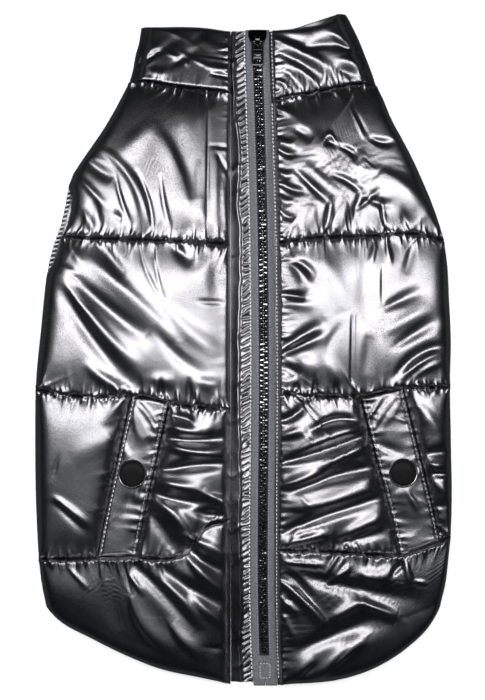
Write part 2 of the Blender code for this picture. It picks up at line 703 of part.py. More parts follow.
def pull():
    """The pull tab, its bar through the slider's bridge and its tip resting on the teeth."""
    bar_z = SLIDER_Z[1] + BRIDGE_CLEAR / 2
    tip_z = TEETH_BOTTOM + TEETH_THICK + 0.35 + PULL_THICK / 2
    droop = math.atan2(bar_z - tip_z, PULL_LONG)
    half_bar = PULL_THICK / 2
    outline = []
    for cx, cy, start in ((PULL_HALF - 0.9, half_bar - 0.5, 0), (0.9 - PULL_HALF, half_bar - 0.5, 90),
                          (0.9 - PULL_HALF, 0.9 - PULL_LONG, 180),
                          (PULL_HALF - 0.9, 0.9 - PULL_LONG, 270)):
        for k in range(4):
            angle = math.radians(start + 30 * k)
            outline.append((cx + 0.9 * math.cos(angle), cy + (0.5 if cy > -1 else 0.9)
                            * math.sin(angle)))
    half, reach = PULL_WINDOW
    window = [(half, -half_bar), (-half, -half_bar), (-half, -reach), (half, -reach)]
    tab = flat_piece("zip_pull", [outline, window], -half_bar, half_bar, 0.2, "hardware")
    tab.location = Vector((zip_x(PULL_BAR_Y), PULL_BAR_Y, bar_z)) * MM
    tab.rotation_euler = (droop, 0, 0)
    return tab


def pocket_welt(name, panel, welt_columns):
    """A flat strip that lies on the third baffle and is made from its points, moved out."""
    first, second = welt_columns
    rows = panel[2 * ROWS + 1:3 * ROWS]
    bed = [row[first:second + 1] for row in rows]
    low = [[p + Vector((0, 0, GAP)) for p in row] for row in bed]
    high = [[p + Vector((0, 0, WELT_THICK)) for p in row] for row in low]
    return wall(name, high, low, 1, "shell")


def snap(name, centre, panel, welt_columns):
    """A round snap cap pressed on a welt."""
    first, second = welt_columns
    seat = max(point.z for row in panel for point in row[first:second + 1]
               if (point.xy - Vector(centre)).length < SNAP_REACH)
    profile = bpy.data.meshes.new(name)
    points = [(radius * MM, 0, height * MM) for radius, height in SNAP_PROFILE]
    profile.from_pydata(points, [(i, i + 1) for i in range(len(points) - 1)], [])
    cap = add_object(name, profile, "hardware")
    turn = cap.modifiers.new("turn", "SCREW")
    turn.steps = turn.render_steps = SNAP_STEPS
    turn.use_merge_vertices = True
    turn.merge_threshold = 0.00001
    turn.use_normal_calculate = True
    cap.location = Vector((*centre, seat + 2 * GAP + WELT_THICK)) * MM
    return cap


# ------------------------------------------------------------------ the coat
for old in list(bpy.data.objects):
    bpy.data.objects.remove(old)
coat = bpy.data.collections.new(COAT)
bpy.context.scene.collection.children.link(coat)

left_points = back_panel_points(LEFT_SEAMS, LEFT_HEM, left_panel_x, left_back_x, LEFT_WELT,
                                LEFT_FOLDS)
right_points = back_panel_points(RIGHT_SEAMS, RIGHT_HEM, right_panel_x, right_back_x,
                                 RIGHT_WELT, RIGHT_FOLDS)
back_panel("back_left", left_points)
back_panel("back_right", right_points)
belly_panel()
collar_band(collar_half(COLLAR_TOP_LEFT, seam_line(LEFT_SEAMS[0], left_panel_x, left_back_x),
                        COLLAR_SIDE_LEFT, left_panel_x, COLLAR_FOLD),
            collar_half(COLLAR_TOP_RIGHT, seam_line(RIGHT_SEAMS[0], right_panel_x, right_back_x),
                        COLLAR_SIDE_RIGHT, right_panel_x, -COLLAR_FOLD))
zip_parts()
slider()
pull()
for side, points, welt in (("left", left_points, LEFT_WELT), ("right", right_points, RIGHT_WELT)):
    pocket_welt("pocket_welt_" + side, points, welt[0])
    snap("snap_" + side, SNAP_CENTRES[side], points, welt[0])
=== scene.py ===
"""Looks for the dog puffer coat: cloth, zip, stitching, snaps and the studio around them.

The coat lies flat on its belly, collar towards +Y, zip upwards. Shapes are worked out in
millimetres, in the CAD's own frame, and turned into metres where a mesh is made.
"""
import math

import bmesh
import bpy
import numpy as np
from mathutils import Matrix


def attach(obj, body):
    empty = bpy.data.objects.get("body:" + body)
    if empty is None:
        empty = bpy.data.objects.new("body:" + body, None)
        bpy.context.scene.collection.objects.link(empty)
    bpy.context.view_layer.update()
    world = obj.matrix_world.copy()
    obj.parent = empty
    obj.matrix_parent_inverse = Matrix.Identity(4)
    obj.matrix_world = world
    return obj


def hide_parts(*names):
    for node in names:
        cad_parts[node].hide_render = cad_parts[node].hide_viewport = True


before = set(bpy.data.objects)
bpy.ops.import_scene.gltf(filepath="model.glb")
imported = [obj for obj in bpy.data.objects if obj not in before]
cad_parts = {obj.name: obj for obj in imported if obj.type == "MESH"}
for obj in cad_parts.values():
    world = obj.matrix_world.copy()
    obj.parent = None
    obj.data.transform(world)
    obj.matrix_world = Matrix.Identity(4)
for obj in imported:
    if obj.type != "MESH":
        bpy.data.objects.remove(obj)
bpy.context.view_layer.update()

MM = 0.001
GAP = 0.3

# ---- the plan, repeated from the part's source, in millimetres ----
BACK_REST = 5.3              # the back lies on the belly panel at this height
LEFT_SIDE = (  # x, y
    (-62, 144), (-66.5, 135.5), (-72.5, 124.5), (-79.5, 113.5), (-87, 103), (-93.5, 92),
    (-96, 81.5), (-98, 70.5), (-102, 59.5), (-105, 49), (-107, 35), (-109, 15), (-112, -16),
    (-112.5, -48.5), (-111.7, -91.5), (-110.5, -112), (-109, -128), (-107, -138))
RIGHT_SIDE = (  # x, y
    (72, 142), (75.5, 135.5), (80, 124.5), (86, 113.5), (91.5, 103), (96.5, 92), (101, 81.5),
    (105, 70.5), (108, 59.5), (110, 47), (111, 27.5), (112, 5.5), (111.5, -16), (112, -48.5),
    (112.2, -91.5), (111, -107), (109.5, -124), (106.5, -138))
CORNER_Y = -138.0            # where the sides turn into the rounded hem
ZIP_CENTRE = (  # x, y
    (7.5, 181), (7.6, 160), (8.5, 132), (10.4, 60), (11, 0), (11, -156), (12, -182))
ZIP_TOP = 173.0
ZIP_END = -181.7
TEETH_TOP = 164.6
TEETH_END = -164.5
TEETH_BOTTOM = 6.3
TAPE_THICK = 0.7
TAPE_LEFT = 6.5              # from the centre line to each tape's outer edge
TAPE_RIGHT = 6.3
LEFT_PANEL_EDGE = -7.0       # x where the left panel and collar stop beside the guard strip
BELLY_HEM = ((-111, -104), (-60, -102.5), (0, -100), (60, -97.5), (112, -95))
HEM_STEP_START = 9.0         # the back comes down to the surface past the belly's hem
HEM_STEP_RUN = 28.0          # over this length at the sides
HEM_STEP_EXTRA = 24.0        # and this much more along the zip
LEG_OPENINGS = ((-76.0, 65.0, 12.0), (84.0, 66.0, -14.0))   # x, y of the middle, turn in degrees
LEG_WIDE = 34.0
LEG_LONG = 46.0
LEG_EDGE_SHOWS = (88.0, 42.0, 3.6)   # the left one's rim shows between these levels, by this much
LEFT_SEAMS = (  # y at the zip, points between, y at the side
    (138, ((-14.5, 139), (-28.5, 140.5), (-41, 142), (-49.5, 143.7)), 144),
    (57, ((-32.5, 58), (-52.5, 59), (-73.5, 59.5)), 61),
    (-31.5, ((-36, -28.5), (-49.5, -25), (-83.5, -24.5)), -20.5),
    (-91, ((-17, -92.5), (-23, -97), (-28, -105.5), (-34, -109.5), (-61.5, -110.5)), -112))
RIGHT_SEAMS = (
    (134.5, ((36, 138), (50.5, 141), (61.5, 143)), 142),
    (57.5, ((39, 60), (67, 61), (92, 62)), 58.5),
    (-22.5, ((42.5, -24.5), (63, -24), (83.5, -20)), -19.5),
    (-107, ((48.5, -107.5), (84, -109), (96, -106)), -99.5))
LEFT_HEM = (-181, ((-21.5, -178), (-46, -172.5), (-60, -167), (-81.5, -156.5), (-100, -146)))
RIGHT_HEM = (-181.5, ((55, -178), (70.5, -172.5), (88, -161.5), (99, -151)))
# where a welt's edges cross the seam above and the one below, as parts of the seam's length
LEFT_WELT_PARTS = ((0.315, 0.50), (0.53, 0.71))
RIGHT_WELT_PARTS = ((0.48, 0.72), (0.70, 0.925))
# each baffle's loft, then how far its padding takes to swell from its upper and its lower seam
BAFFLES = (
    (14.0, 42.0, 13.0),
    (14.5, 19.0, 21.0),
    (13.0, 9.0, 34.0),
    (12.0, 18.0, 30.0))
SIDE_SWELL = 22.0
WALL_REACH = 1.4             # the steep part of a panel's swell beside its stitches
WALL_SHARE = 0.86            # and its part of the loft
ZIP_WALL = 1.0               # the same beside the zip
ZIP_SHARE = 0.8
ZIP_MARGIN = 1.3             # flat cloth for the stitches beside the right tape
# how high the cloth stays at each baffle's upper and lower seam, as a part of its loft
SEAM_LIFTS = ((0.42, 0.80), (0.80, 0.80), (0.80, 0.72), (0.72, 0.0))
PLAIN_LIFT = 0.96            # the same where the stepped seam's short run lies hidden
FOLD_BOLDNESS = (1.0, 0.9, 1.15, 0.9)     # FOLD_BOLDNESS = (1.0, 0.9, 1.15, 0.9) # of each baffle's listed folds
BAFFLE_FALL = (0.0, 0.0, 0.05, 0.0)       # slope of each baffle's crown towards the hem
SEAM_BRIDGE = 0.45           # how unevenly puckered cloth fills the seams
TOP_SHARES = (0.38, 0.86, 0.86, 0.86)     # the steep part below each baffle's upper seam
BRIM_SHARES = (0.50, 0.36, 0.14)   # an outer edge's upright side, its shoulder, and the rest
BRIM_SIDE = 1.2
BRIM_SHOULDER = 3.8
SEAM_CREASE = math.radians(75)     # cloth that bends more than this is creased, not rounded
# long folds that run into each baffle from its upper and its lower seam
LONG_FOLDS = ((0.3, 0.9), (0.7, 0.6), (0.7, 0.3), (0.25, 0.0))
COLLAR_TOP_LEFT = (172, ((-20, 174),))
COLLAR_TOP_RIGHT = (172, ((30, 174), (45, 177.5)))
COLLAR_SIDE_LEFT = ((-55.5, 174.5), (-56.5, 167.5), (-59.5, 153.5), (-62, 144))
COLLAR_SIDE_RIGHT = ((55.5, 181.7), (62.5, 167), (68.5, 152.5), (72, 142))
COLLAR_LOFT = 9.0
COLLAR_BOLDNESS = 0.6        # COLLAR_BOLDNESS = 0.6 # of its listed folds
COLLAR_FOLD = 5.0            # radius of the side folds, seen from above
UNDER_COLLAR_THICK = 4.7
UNDER_SAG = 7.0              # how far the hidden layer's neck edge dips below a straight line

# ---- grids of the cloth ----
COLUMNS = 176                # zip to side
ROWS = 96                    # in each baffle
LEFT_WELT_COLUMNS = (64, 96)
RIGHT_WELT_COLUMNS = (80, 120)
END_CROWDING = 0.35          # 0 spaces the rows evenly, 1 crowds them to the seams
LINING_STEP = 8              # the plain inside has one column for this many outside
STAGES = ((8, 120), (4, 140), (2, 120), (1, 60))   # every how many grid points, how many rounds
COLLAR_COLUMNS = 80
COLLAR_ROWS = 56
COLLAR_STAGES = ((4, 120), (2, 100), (1, 50))
FOLD_STEPS = 8
UNDER_STEPS = 32
GUARD_ROWS = 900
GUARD_COLUMNS = 32
TAPE_ROWS = 240

# ---- cloth at its stitches ----
SEAM_Z = 1.9                 # cloth above what it lies on, where it is stitched down
HEM_Z = 1.4                  # the same at the hem
NECK_Z = 1.2                 # and at the collar's neck edge
LEAST_THICK = 0.8
# rows of puckers: pitch, reach away from the stitches, width, slant, unevenness of the pitch
BEADS = (3.1, 2.6, 0.8, 0.15, 0.16)
SMALL_PUCKERS = (4.6, 5.2, 1.0, 0.3, 0.4)
RIDGES = (7.4, 6.0, 1.6, 0.5, 0.4)
LONG_PUCKERS = (21.0, 15.0, 2.6, 0.8, 0.4)
SIDE_PUCKERS = (9, 8, 2.4, 0.3, 0.4)
WELT_BEADS = (3.1, 2.6, 0.75, 0.1, 0.2)
WELT_PUCKERS = (5.6, 7.0, 1.2, 0.35, 0.4)
GUARD_PUCKERS = (23, 9, 1.6, 0.0, 0.6)
STITCH_RINGS = 5

# ---- belly, guard strip and welts ----
BELLY_VOXEL = 1.4
OVERLOCK_PITCH = 2.5
OVERLOCK_REACH = 2.3
OVERLOCK_RADIUS = 0.62
OVERLOCK_RINGS = 7
GUARD_GATHER = 1.6           # height of the guard's gathers
GUARD_SLANT = 0.6
GUARD_PITCH = 3.3
WELT_BED = 5.5               # padding held down under a pocket welt
WELT_BESIDE = 13             # and beside it, over this distance
WELT_CROWN = 8.5             # distance over which a welt swells from its edges
WELT_CROWN_HEIGHT = 1.6
WELT_TILT = 0.025            # rise towards the collar
WELT_STITCH = 1.3            # from a welt's edge to its stitches
WELT_FULLNESS = (1.05, 1.06)     # cloth in a welt, across and along, for its size as it lies

# ---- zip and snaps ----
TAPE_PLACES = (0.15, 1.2, 2.3, 2.5, 2.7, 2.9, 3.3, 3.8, 4.4, 5.2, 6.0)   # from the zip's middle
TAPE_Z = 1.75                # a tape's underside above what the zip lies on
TOOTH_PITCH = 2.86
# a tooth's form: part of its outline, height
TOOTH_RINGS = ((0.5, 2.2), (0.78, 2.1), (0.93, 1.85), (1.0, 1.4), (1.0, 0.4), (0.85, 0.0))
TOOTH_LEAN = -0.38
# where the teeth lie level: middle, half length, how much
LEVEL_RUNS = ((-14, 14, 1.0), (46, 11, 0.8), (24, 6, 0.6), (-70, 8, 0.4))
KNOB_REACH = 0.95            # past the centre line
KNOB_RADIUS = 0.62
KNOB_DROOP = 0.5             # how steeply a level tooth falls off at its knob
BRIDGE_MIDDLE_Y = 167.6
BRIDGE_HALF_LONG = 2.45
BRIDGE_RISE = 2.5            # above the slider's upper plate
PULL_BAR_Y = 166.6           # the hinge's line
PULL_BAR_Z = 10.55
PULL_TIP_Z = 9.68
PULL_HALF = 3.25
PULL_LONG = 13.4             # from the bar's middle to the tip
PATCH_Y = -173.6
PATCH_Z = (2.42, 2.95)       # underside and top
HARD_CREASE = math.radians(40)   # metal that bends more than this has a sharp edge
SNAP_CENTRES = {"left": (-59.5, -66.0), "right": (85.5, -65.5)}
SNAP_TILT = {"left": (-0.015, -0.03), "right": (0.01, -0.03)}
SNAP_CAP = (  # radius, height
    (0.0, 3.05), (2.5, 3.0), (4.6, 2.8), (6.0, 2.45), (6.75, 2.05), (7.0, 1.6), (6.9, 1.2),
    (0.0, 1.1))
SNAP_RING = (
    (6.3, 1.2), (6.9, 1.85), (7.3, 2.0), (7.7, 1.75), (7.9, 1.1), (7.8, 0.4), (7.0, 0.1),
    (6.3, 0.1), (6.3, 1.2))


# ------------------------------------------------------------------ lines
class Line:
    """A smooth line through points of the plan, measured along its length from 0 to 1."""

    def __init__(self, points, steps=6):
        points = np.array(points, float)
        steps_between = np.diff(points, axis=0)
        gaps = np.linalg.norm(steps_between, axis=1)
        chords = steps_between / gaps[:, None]
        share = (gaps[:-1] / (gaps[:-1] + gaps[1:]))[:, None]
        slopes = np.vstack([chords[:1], chords[:-1] * (1 - share) + chords[1:] * share,
                            chords[-1:]])
        line = [points[0]]
        for i, gap in enumerate(gaps):
            for k in range(1, steps + 1):
                line.append(span(points[i], points[i + 1], slopes[i] * gap,
                                 slopes[i + 1] * gap, k / steps))
        self.points = np.array(line)
        lengths = np.linalg.norm(np.diff(self.points, axis=0), axis=1)
        self.length = lengths.sum()
        self.reach = np.concatenate([[0], np.cumsum(lengths)]) / self.length

    def at(self, part):
        """The points at these parts of the length."""
        part = np.asarray(part, float)
        return np.stack([np.interp(part, self.reach, self.points[:, axis])
                         for axis in range(self.points.shape[1])], axis=-1)

    def across(self, value, axis):
        """The other coordinate where the line passes this x (axis 0) or y (axis 1)."""
        order = np.argsort(self.points[:, axis], kind="stable")
        return np.interp(value, self.points[order, axis], self.points[order, 1 - axis])


def span(a, b, slope_a, slope_b, t):
    """Cubic from a to b that leaves and arrives with the given slopes."""
    return (a * (2 * t ** 3 - 3 * t ** 2 + 1) + slope_a * (t ** 3 - 2 * t ** 2 + t)
            + b * (3 * t ** 2 - 2 * t ** 3) + slope_b * (t ** 3 - t ** 2))


def rise(distance, width):
    """0 at an edge, 1 from width on, along a quarter of an ellipse."""
    left = 1 - np.clip(distance / width, 0, 1)
    return np.sqrt(1 - left * left)


def swelling(distance, width, wall=WALL_REACH, share=WALL_SHARE):
    """0 at a line of stitches, 1 from width on: a short steep wall, then a gentle crown."""
    return share * rise(distance, wall) + (1 - share) * arc(distance, width)


def brim(distance, width):
    """The same at an outer edge: an upright side, a round shoulder, then a gentle crown."""
    side, shoulder, crown = BRIM_SHARES
    return (side * rise(distance, BRIM_SIDE) + shoulder * arc(distance, BRIM_SHOULDER)
            + crown * arc(distance, width))


def arc(distance, width):
    """0 at an edge, 1 from width on, steepest at the edge."""
    return 1 - (1 - np.clip(distance / width, 0, 1)) ** 2


def ramp(value, start, end):
    """0 before start, 1 past end, straight between."""
    return np.clip((value - start) / (end - start), 0, 1)


def soft_ramp(value, start, end):
    """The same, leaving and arriving gently."""
    t = ramp(value, start, end)
    return t * t * (3 - 2 * t)


def mottle(x, y, pitch, seed):
    """Smooth random waviness between -1 and 1, this pitch from one swell to the next."""
    size = 97
    lattice = np.random.default_rng(seed).uniform(-1, 1, (size, size))
    u, v = np.asarray(x) / pitch + 700.3, np.asarray(y) / pitch + 700.7
    i, j = np.floor(u).astype(int), np.floor(v).astype(int)
    s, t = u - i, v - j
    s, t = s * s * (3 - 2 * s), t * t * (3 - 2 * t)
    i, j = i % size, j % size
    i2, j2 = (i + 1) % size, (j + 1) % size
    low = lattice[i, j] * (1 - s) + lattice[i2, j] * s
    high = lattice[i, j2] * (1 - s) + lattice[i2, j2] * s
    return low * (1 - t) + high * t


def apart(points, others):
    """Distance of plan points from others."""
    return np.linalg.norm(points - others, axis=-1)


def distances(path):
    """How far along a path each of its points is."""
    steps = np.linalg.norm(np.diff(path, axis=0), axis=1)
    return np.concatenate([[0], np.cumsum(steps)])


zip_line = Line(ZIP_CENTRE)
hem_line = Line(BELLY_HEM)
left_side = Line(LEFT_SIDE)
right_side = Line(RIGHT_SIDE)


def zip_x(y):
    return zip_line.across(y, 1)


def left_panel_x(y):
    return LEFT_PANEL_EDGE + 0 * np.asarray(y, float)


def right_panel_x(y):
    return zip_x(y) + TAPE_RIGHT + GAP


def left_back_x(y):
    """The left panel's side, which leaves the leg opening's rim in sight."""
    high, low, inset = LEG_EDGE_SHOWS
    shows = ramp(y, low, low + 8) * (1 - ramp(y, high - 8, high))
    return left_side.across(y, 1) + inset * shows


def right_back_x(y):
    return right_side.across(y, 1)


def rest_height(x, y):
    """Height of what the back lies on: the belly panel, and past its hem the surface."""
    past_hem = hem_line.across(x, 0) - y
    run = HEM_STEP_RUN + HEM_STEP_EXTRA * (1 - (x / BELLY_HEM[-1][0]) ** 2)
    return BACK_REST * (1 - ramp(past_hem, HEM_STEP_START, HEM_STEP_START + run))


def edge_line(x_of, high, low, steps=12):
    """A panel's upright edge between two levels."""
    ys = np.linspace(high, low, steps + 1)
    return Line(np.stack([x_of(ys), ys], axis=1), steps=1)


def seam_line(seam, zip_x_of, side_x_of):
    """A seam from the zip to the side."""
    zip_y, between, side_y = seam
    return Line([(zip_x_of(zip_y), zip_y), *between, (side_x_of(side_y), side_y)])


def patch(top, bottom, inner, outer, top_part, bottom_part, down):
    """Plan points between four edge lines: one row for each value of down."""
    down = down[:, None]
    across = (top_part + (bottom_part - top_part) * down)[..., None]
    down = down[..., None]
    ruled = top.at(top_part) * (1 - down) + bottom.at(bottom_part) * down
    side = down[:, :, 0]
    sides = inner.at(side) * (1 - across) + outer.at(side) * across
    high = top.at(0) * (1 - across) + top.at(1) * across
    low = bottom.at(0) * (1 - across) + bottom.at(1) * across
    return ruled + sides - high * (1 - down) - low * down


def crowded(count, crowding=END_CROWDING):
    """Places of the rows between two seams, closer together near the seams."""
    even = np.linspace(0, 1, count + 1)
    return even + (0.5 - 0.5 * np.cos(np.pi * even) - even) * crowding


def column_parts(welt_columns=(), crossings=()):
    """Where the columns cross a seam, with a welt's columns at its own crossings."""
    columns = [0, *welt_columns, COLUMNS]
    return np.interp(np.arange(COLUMNS + 1), columns, [0, *crossings, 1])


# ------------------------------------------------------------------ cloth at rest
LINKS = (  # rows down, columns across, firmness
    (0, 1, 1.0), (1, 0, 1.0), (1, 1, 0.35), (1, -1, 0.35), (0, 2, 0.22), (2, 0, 0.22))


def link_ends(grid, down, across, start, step):
    """The two ends of every step-th link of one kind."""
    rows, columns = grid.shape[:2]
    if down:
        left, right = max(0, -across), max(0, across)
        first = grid[start:rows - down:step, left:columns - right]
        second = grid[start + down::step, right:columns - left]
        return first, second[:first.shape[0]]
    first = grid[:, start:columns - across:step]
    return first, grid[:, start + across::step][:, :first.shape[1]]


def settle(start, target, free, hold, spare_across, spare_down, floor, stages=STAGES):
    """Lets a sheet find its folds on a coarse grid first, so that the large ones come first."""
    moved = seeds = start - target
    for step, rounds in stages:
        part = (slice(None, None, step),) * 2
        points = relax((target + moved)[part], target[part], free[part], hold[part],
                       spare_across[part], spare_down[part], floor[part],
                       rounds)
        moved = enlarge(points - target[part], target.shape[:2], step)
        moved += seeds - enlarge(seeds[part], target.shape[:2], step)
    return target + moved * free


def enlarge(grid, shape, step):
    """A coarse grid's values on the fine grid."""
    for axis in (0, 1):
        places = np.arange(shape[axis]) / step
        low = np.minimum(places.astype(int), grid.shape[axis] - 2)
        part = places - low
        part = part.reshape((-1, 1, 1) if axis == 0 else (1, -1, 1))
        grid = np.take(grid, low, axis) * (1 - part) + np.take(grid, low + 1, axis) * part
    return grid


def relax(start, target, free, hold, spare_across, spare_down, floor, rounds, keep=0.88,
          drift=0.012, push=0.02):
    """One stage of settling.

    Position-based cloth: every link between grid points is pulled to the length of its own
    piece of cloth, which is the target surface's length and the spare cloth on top, while the
    padding holds the sheet to the target's height. Pinned points (free 0) stay.
    """
    links = []
    for down, across, firmness in LINKS:
        step = 2 * max(down, abs(across))
        for first in range(step):
            a, b = link_ends(target, down, across, first, step)
            if not a.size:
                continue
            span_x = link_ends(spare_across, down, across, first, step)
            span_y = link_ends(spare_down, down, across, first, step)
            length = b - a
            length = np.stack([length[..., 0] * (1 + (span_x[0] + span_x[1]) / 2),
                               length[..., 1] * (1 + (span_y[0] + span_y[1]) / 2),
                               length[..., 2]], axis=-1)
            cut = np.sqrt((length ** 2).sum(-1, keepdims=True))
            free_a, free_b = link_ends(free, down, across, first, step)
            share = np.maximum(free_a + free_b, 1e-6)
            links.append((down, across, first, step, cut, firmness * free_a / share,
                          firmness * free_b / share))
    points = start.copy()
    before = start.copy()
    pull = hold[..., None] * free
    side_pull = drift * free
    for _ in range(rounds):
        moved = (points - before) * keep * free
        before = points.copy()
        points += moved
        points[..., 2:] += (target[..., 2:] - points[..., 2:]) * pull
        points[..., :2] += (target[..., :2] - points[..., :2]) * side_pull
        points[..., 2:] += push * free
        for down, across, first, step, cut, share_a, share_b in links:
            a, b = link_ends(points, down, across, first, step)
            gap = b - a
            length = np.sqrt((gap * gap).sum(-1, keepdims=True))
            gap *= 1 - cut / length
            a += gap * share_a
            b -= gap * share_b
        points[..., 2] = np.maximum(points[..., 2], floor)
    return points


def smoothed(grid, rounds=1, amount=0.5):
    """The grid with each inner point moved towards the middle of its neighbours."""
    grid = grid.copy()
    for _ in range(rounds):
        middle = (grid[:-2, 1:-1] + grid[2:, 1:-1] + grid[1:-1, :-2] + grid[1:-1, 2:]) / 4
        grid[1:-1, 1:-1] += (middle - grid[1:-1, 1:-1]) * amount
    return grid


def fold_height(folds, x, y):
    """What listed folds add to the height."""
    total = np.zeros_like(x)
    for x0, y0, x1, y1, bow, height, half, lean in folds:
        run = np.array([x1 - x0, y1 - y0], float)
        long = np.hypot(*run)
        along = ((x - x0) * run[0] + (y - y0) * run[1]) / long ** 2
        part = np.clip(along, 0, 1)
        off = ((x - x0) * run[1] - (y - y0) * run[0]) / long - bow * 4 * part * (1 - part)
        past = (along - part) * long
        spread = half * (0.75 + 0.5 * part) * np.where(off > 0, 1 + lean, 1 - lean)
        taper = 0.25 + 0.75 * np.sin(np.pi * part) ** 0.8
        total += height * taper * np.exp(-(off ** 2 + past ** 2) / spread ** 2)
    return total


def puckers(along, away, length, row, seed):
    """Uneven ridges that run away from a line of stitches, in a row of puckers."""
    pitch, reach, width, slant, even = row
    random = np.random.default_rng(seed)
    total = np.zeros_like(along)
    place = random.uniform(0, pitch)
    while place < length:
        far = reach * random.uniform(0.45, 1.0) * (1 + 1.8 * random.uniform() ** 4)
        lean = random.normal(0, slant)
        wide = width * random.uniform(0.75, 1.3)
        off = along - place - lean * away
        spread = wide * (1 + 0.05 * away)
        total += (random.uniform(0.6, 1.25) * np.exp(-(off / spread) ** 2)
                  * np.exp(-(away / far) ** 1.5) * ramp(away, -0.5, 0.7))
        place += pitch * random.uniform(1 - even, 1 + 1.2 * even)
    return total


def gathers(along, away, length, seed, strength=1.0, folded=1.0):
    """What a line of stitches does beside it: larger puckers and a few long folds, which the
    cloth settles round, and a bead between every two stitches, which is laid on afterwards."""
    beads = puckers(along, away, length, BEADS, seed)
    small = puckers(along, away, length, SMALL_PUCKERS, seed + 500)
    ridges = puckers(along, away, length, RIDGES, seed + 1000)
    folds = puckers(along, away, length, LONG_PUCKERS, seed + 2000)
    fine = strength * (1.45 * beads + 0.9 * small + 0.3 * ridges)
    return np.stack([strength * 1.3 * ridges + folded * 1.3 * folds, fine], axis=-1)


# ------------------------------------------------------------------ meshes
def grid_faces(rows, columns, start=0):
    """The faces of a grid of points that begins at this one."""
    corner = (np.arange(rows - 1)[:, None] * columns + np.arange(columns - 1)).ravel() + start
    return np.stack([corner, corner + 1, corner + columns + 1, corner + columns], axis=1).tolist()


def wall_mesh(outer, inner, step):
    """Points and faces of a closed wall: a fine outer grid over an inner one with fewer columns."""
    rows, columns = outer.shape[:2]
    inner_columns = inner.shape[1]
    start = rows * columns
    faces = grid_faces(rows, columns) + grid_faces(rows, inner_columns, start)
    for r in range(rows - 1):
        for a, b in ((r * columns, start + r * inner_columns),
                     ((r + 1) * columns - 1, start + (r + 1) * inner_columns - 1)):
            faces.append([a, a + columns, b + inner_columns, b])
    for r in (0, rows - 1):
        for k in range(inner_columns - 1):
            fine = [r * columns + k * step + i for i in range(step + 1)]
            coarse = [start + r * inner_columns + k, start + r * inner_columns + k + 1]
            half = len(fine) // 2
            for i in range(step):
                faces.append([fine[i], fine[i + 1], coarse[0] if i < half else coarse[1]])
            faces.append([fine[half], coarse[1], coarse[0]])
    return np.concatenate([outer.reshape(-1, 3), inner.reshape(-1, 3)]), faces


def ring_faces(rings, count):
    """The faces of a solid made of rings of this many points, closed at both ends."""
    faces = []
    for r in range(rings - 1):
        for k in range(count):
            n = (k + 1) % count
            faces.append([r * count + k, r * count + n, (r + 1) * count + n, (r + 1) * count + k])
    faces.append(list(range(count))[::-1])
    faces.append([(rings - 1) * count + k for k in range(count)])
    return faces


def in_scene(name, data):
    """An object of this data, linked to the scene."""
    made = bpy.data.objects.new(name, data)
    bpy.context.scene.collection.objects.link(made)
    return made


def mesh_of(holder):
    """The mesh that a holder gives with its bevel or modifiers, which then goes."""
    bpy.context.view_layer.update()
    data = bpy.data.meshes.new_from_object(holder.evaluated_get(
        bpy.context.evaluated_depsgraph_get()))
    bpy.data.objects.remove(holder)
    return data


def make_piece(name, points, faces, finish, slot, body="coat", crease=None):
    """A mesh piece from millimetre points, riding on a body, with sharp edges past the crease."""
    data = bpy.data.meshes.new(name)
    data.from_pydata((np.asarray(points) * MM).tolist(), [], faces)
    mesh = bmesh.new()
    mesh.from_mesh(data)
    bmesh.ops.recalc_face_normals(mesh, faces=mesh.faces)
    mesh.to_mesh(data)
    mesh.free()
    data.shade_smooth()
    if crease:
        data.set_sharp_from_angle(angle=crease)
    data.materials.append(finish)
    piece = in_scene(name, data)
    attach(piece, body)
    return piece


def joined(parts):
    """One list of points and faces from several."""
    points, faces, start = [], [], 0
    for part_points, part_faces in parts:
        points.append(np.asarray(part_points))
        faces += [[i + start for i in face] for face in part_faces]
        start += len(part_points)
    return np.concatenate(points), faces


# ------------------------------------------------------------------ materials
class Node:
    """A socket of a material's node tree, for maths written as Python expressions."""

    def __init__(self, tree, socket):
        self.tree = tree
        self.socket = socket

    def _math(self, operation, *values):
        return make_node(self.tree, "ShaderNodeMath", {"operation": operation}, values)

    def __add__(self, other):
        return self._math("ADD", self, other)

    def __mul__(self, other):
        return self._math("MULTIPLY", self, other)

    def wave(self):
        return self._math("SINE", self)

    __radd__ = __add__
    __rmul__ = __mul__


def make_node(tree, kind, settings, values, output=0):
    """A node of this kind, its settings made first, and the values or links of its sockets."""
    node = tree.nodes.new(kind)
    for name, value in settings.items():
        if name == "stops":
            stops = node.color_ramp.elements
            while len(stops) < len(value):
                stops.new(0.5)
            for stop, (place, colour) in zip(stops, value):
                stop.position = place
                stop.color = (*colour, 1)
        else:
            setattr(node, name, value)
    named = values.items() if isinstance(values, dict) else enumerate(values)
    for name, value in named:
        if isinstance(value, Node):
            tree.links.new(value.socket, node.inputs[name])
        elif value is not None:
            node.inputs[name].default_value = value
    return Node(tree, node.outputs[output])


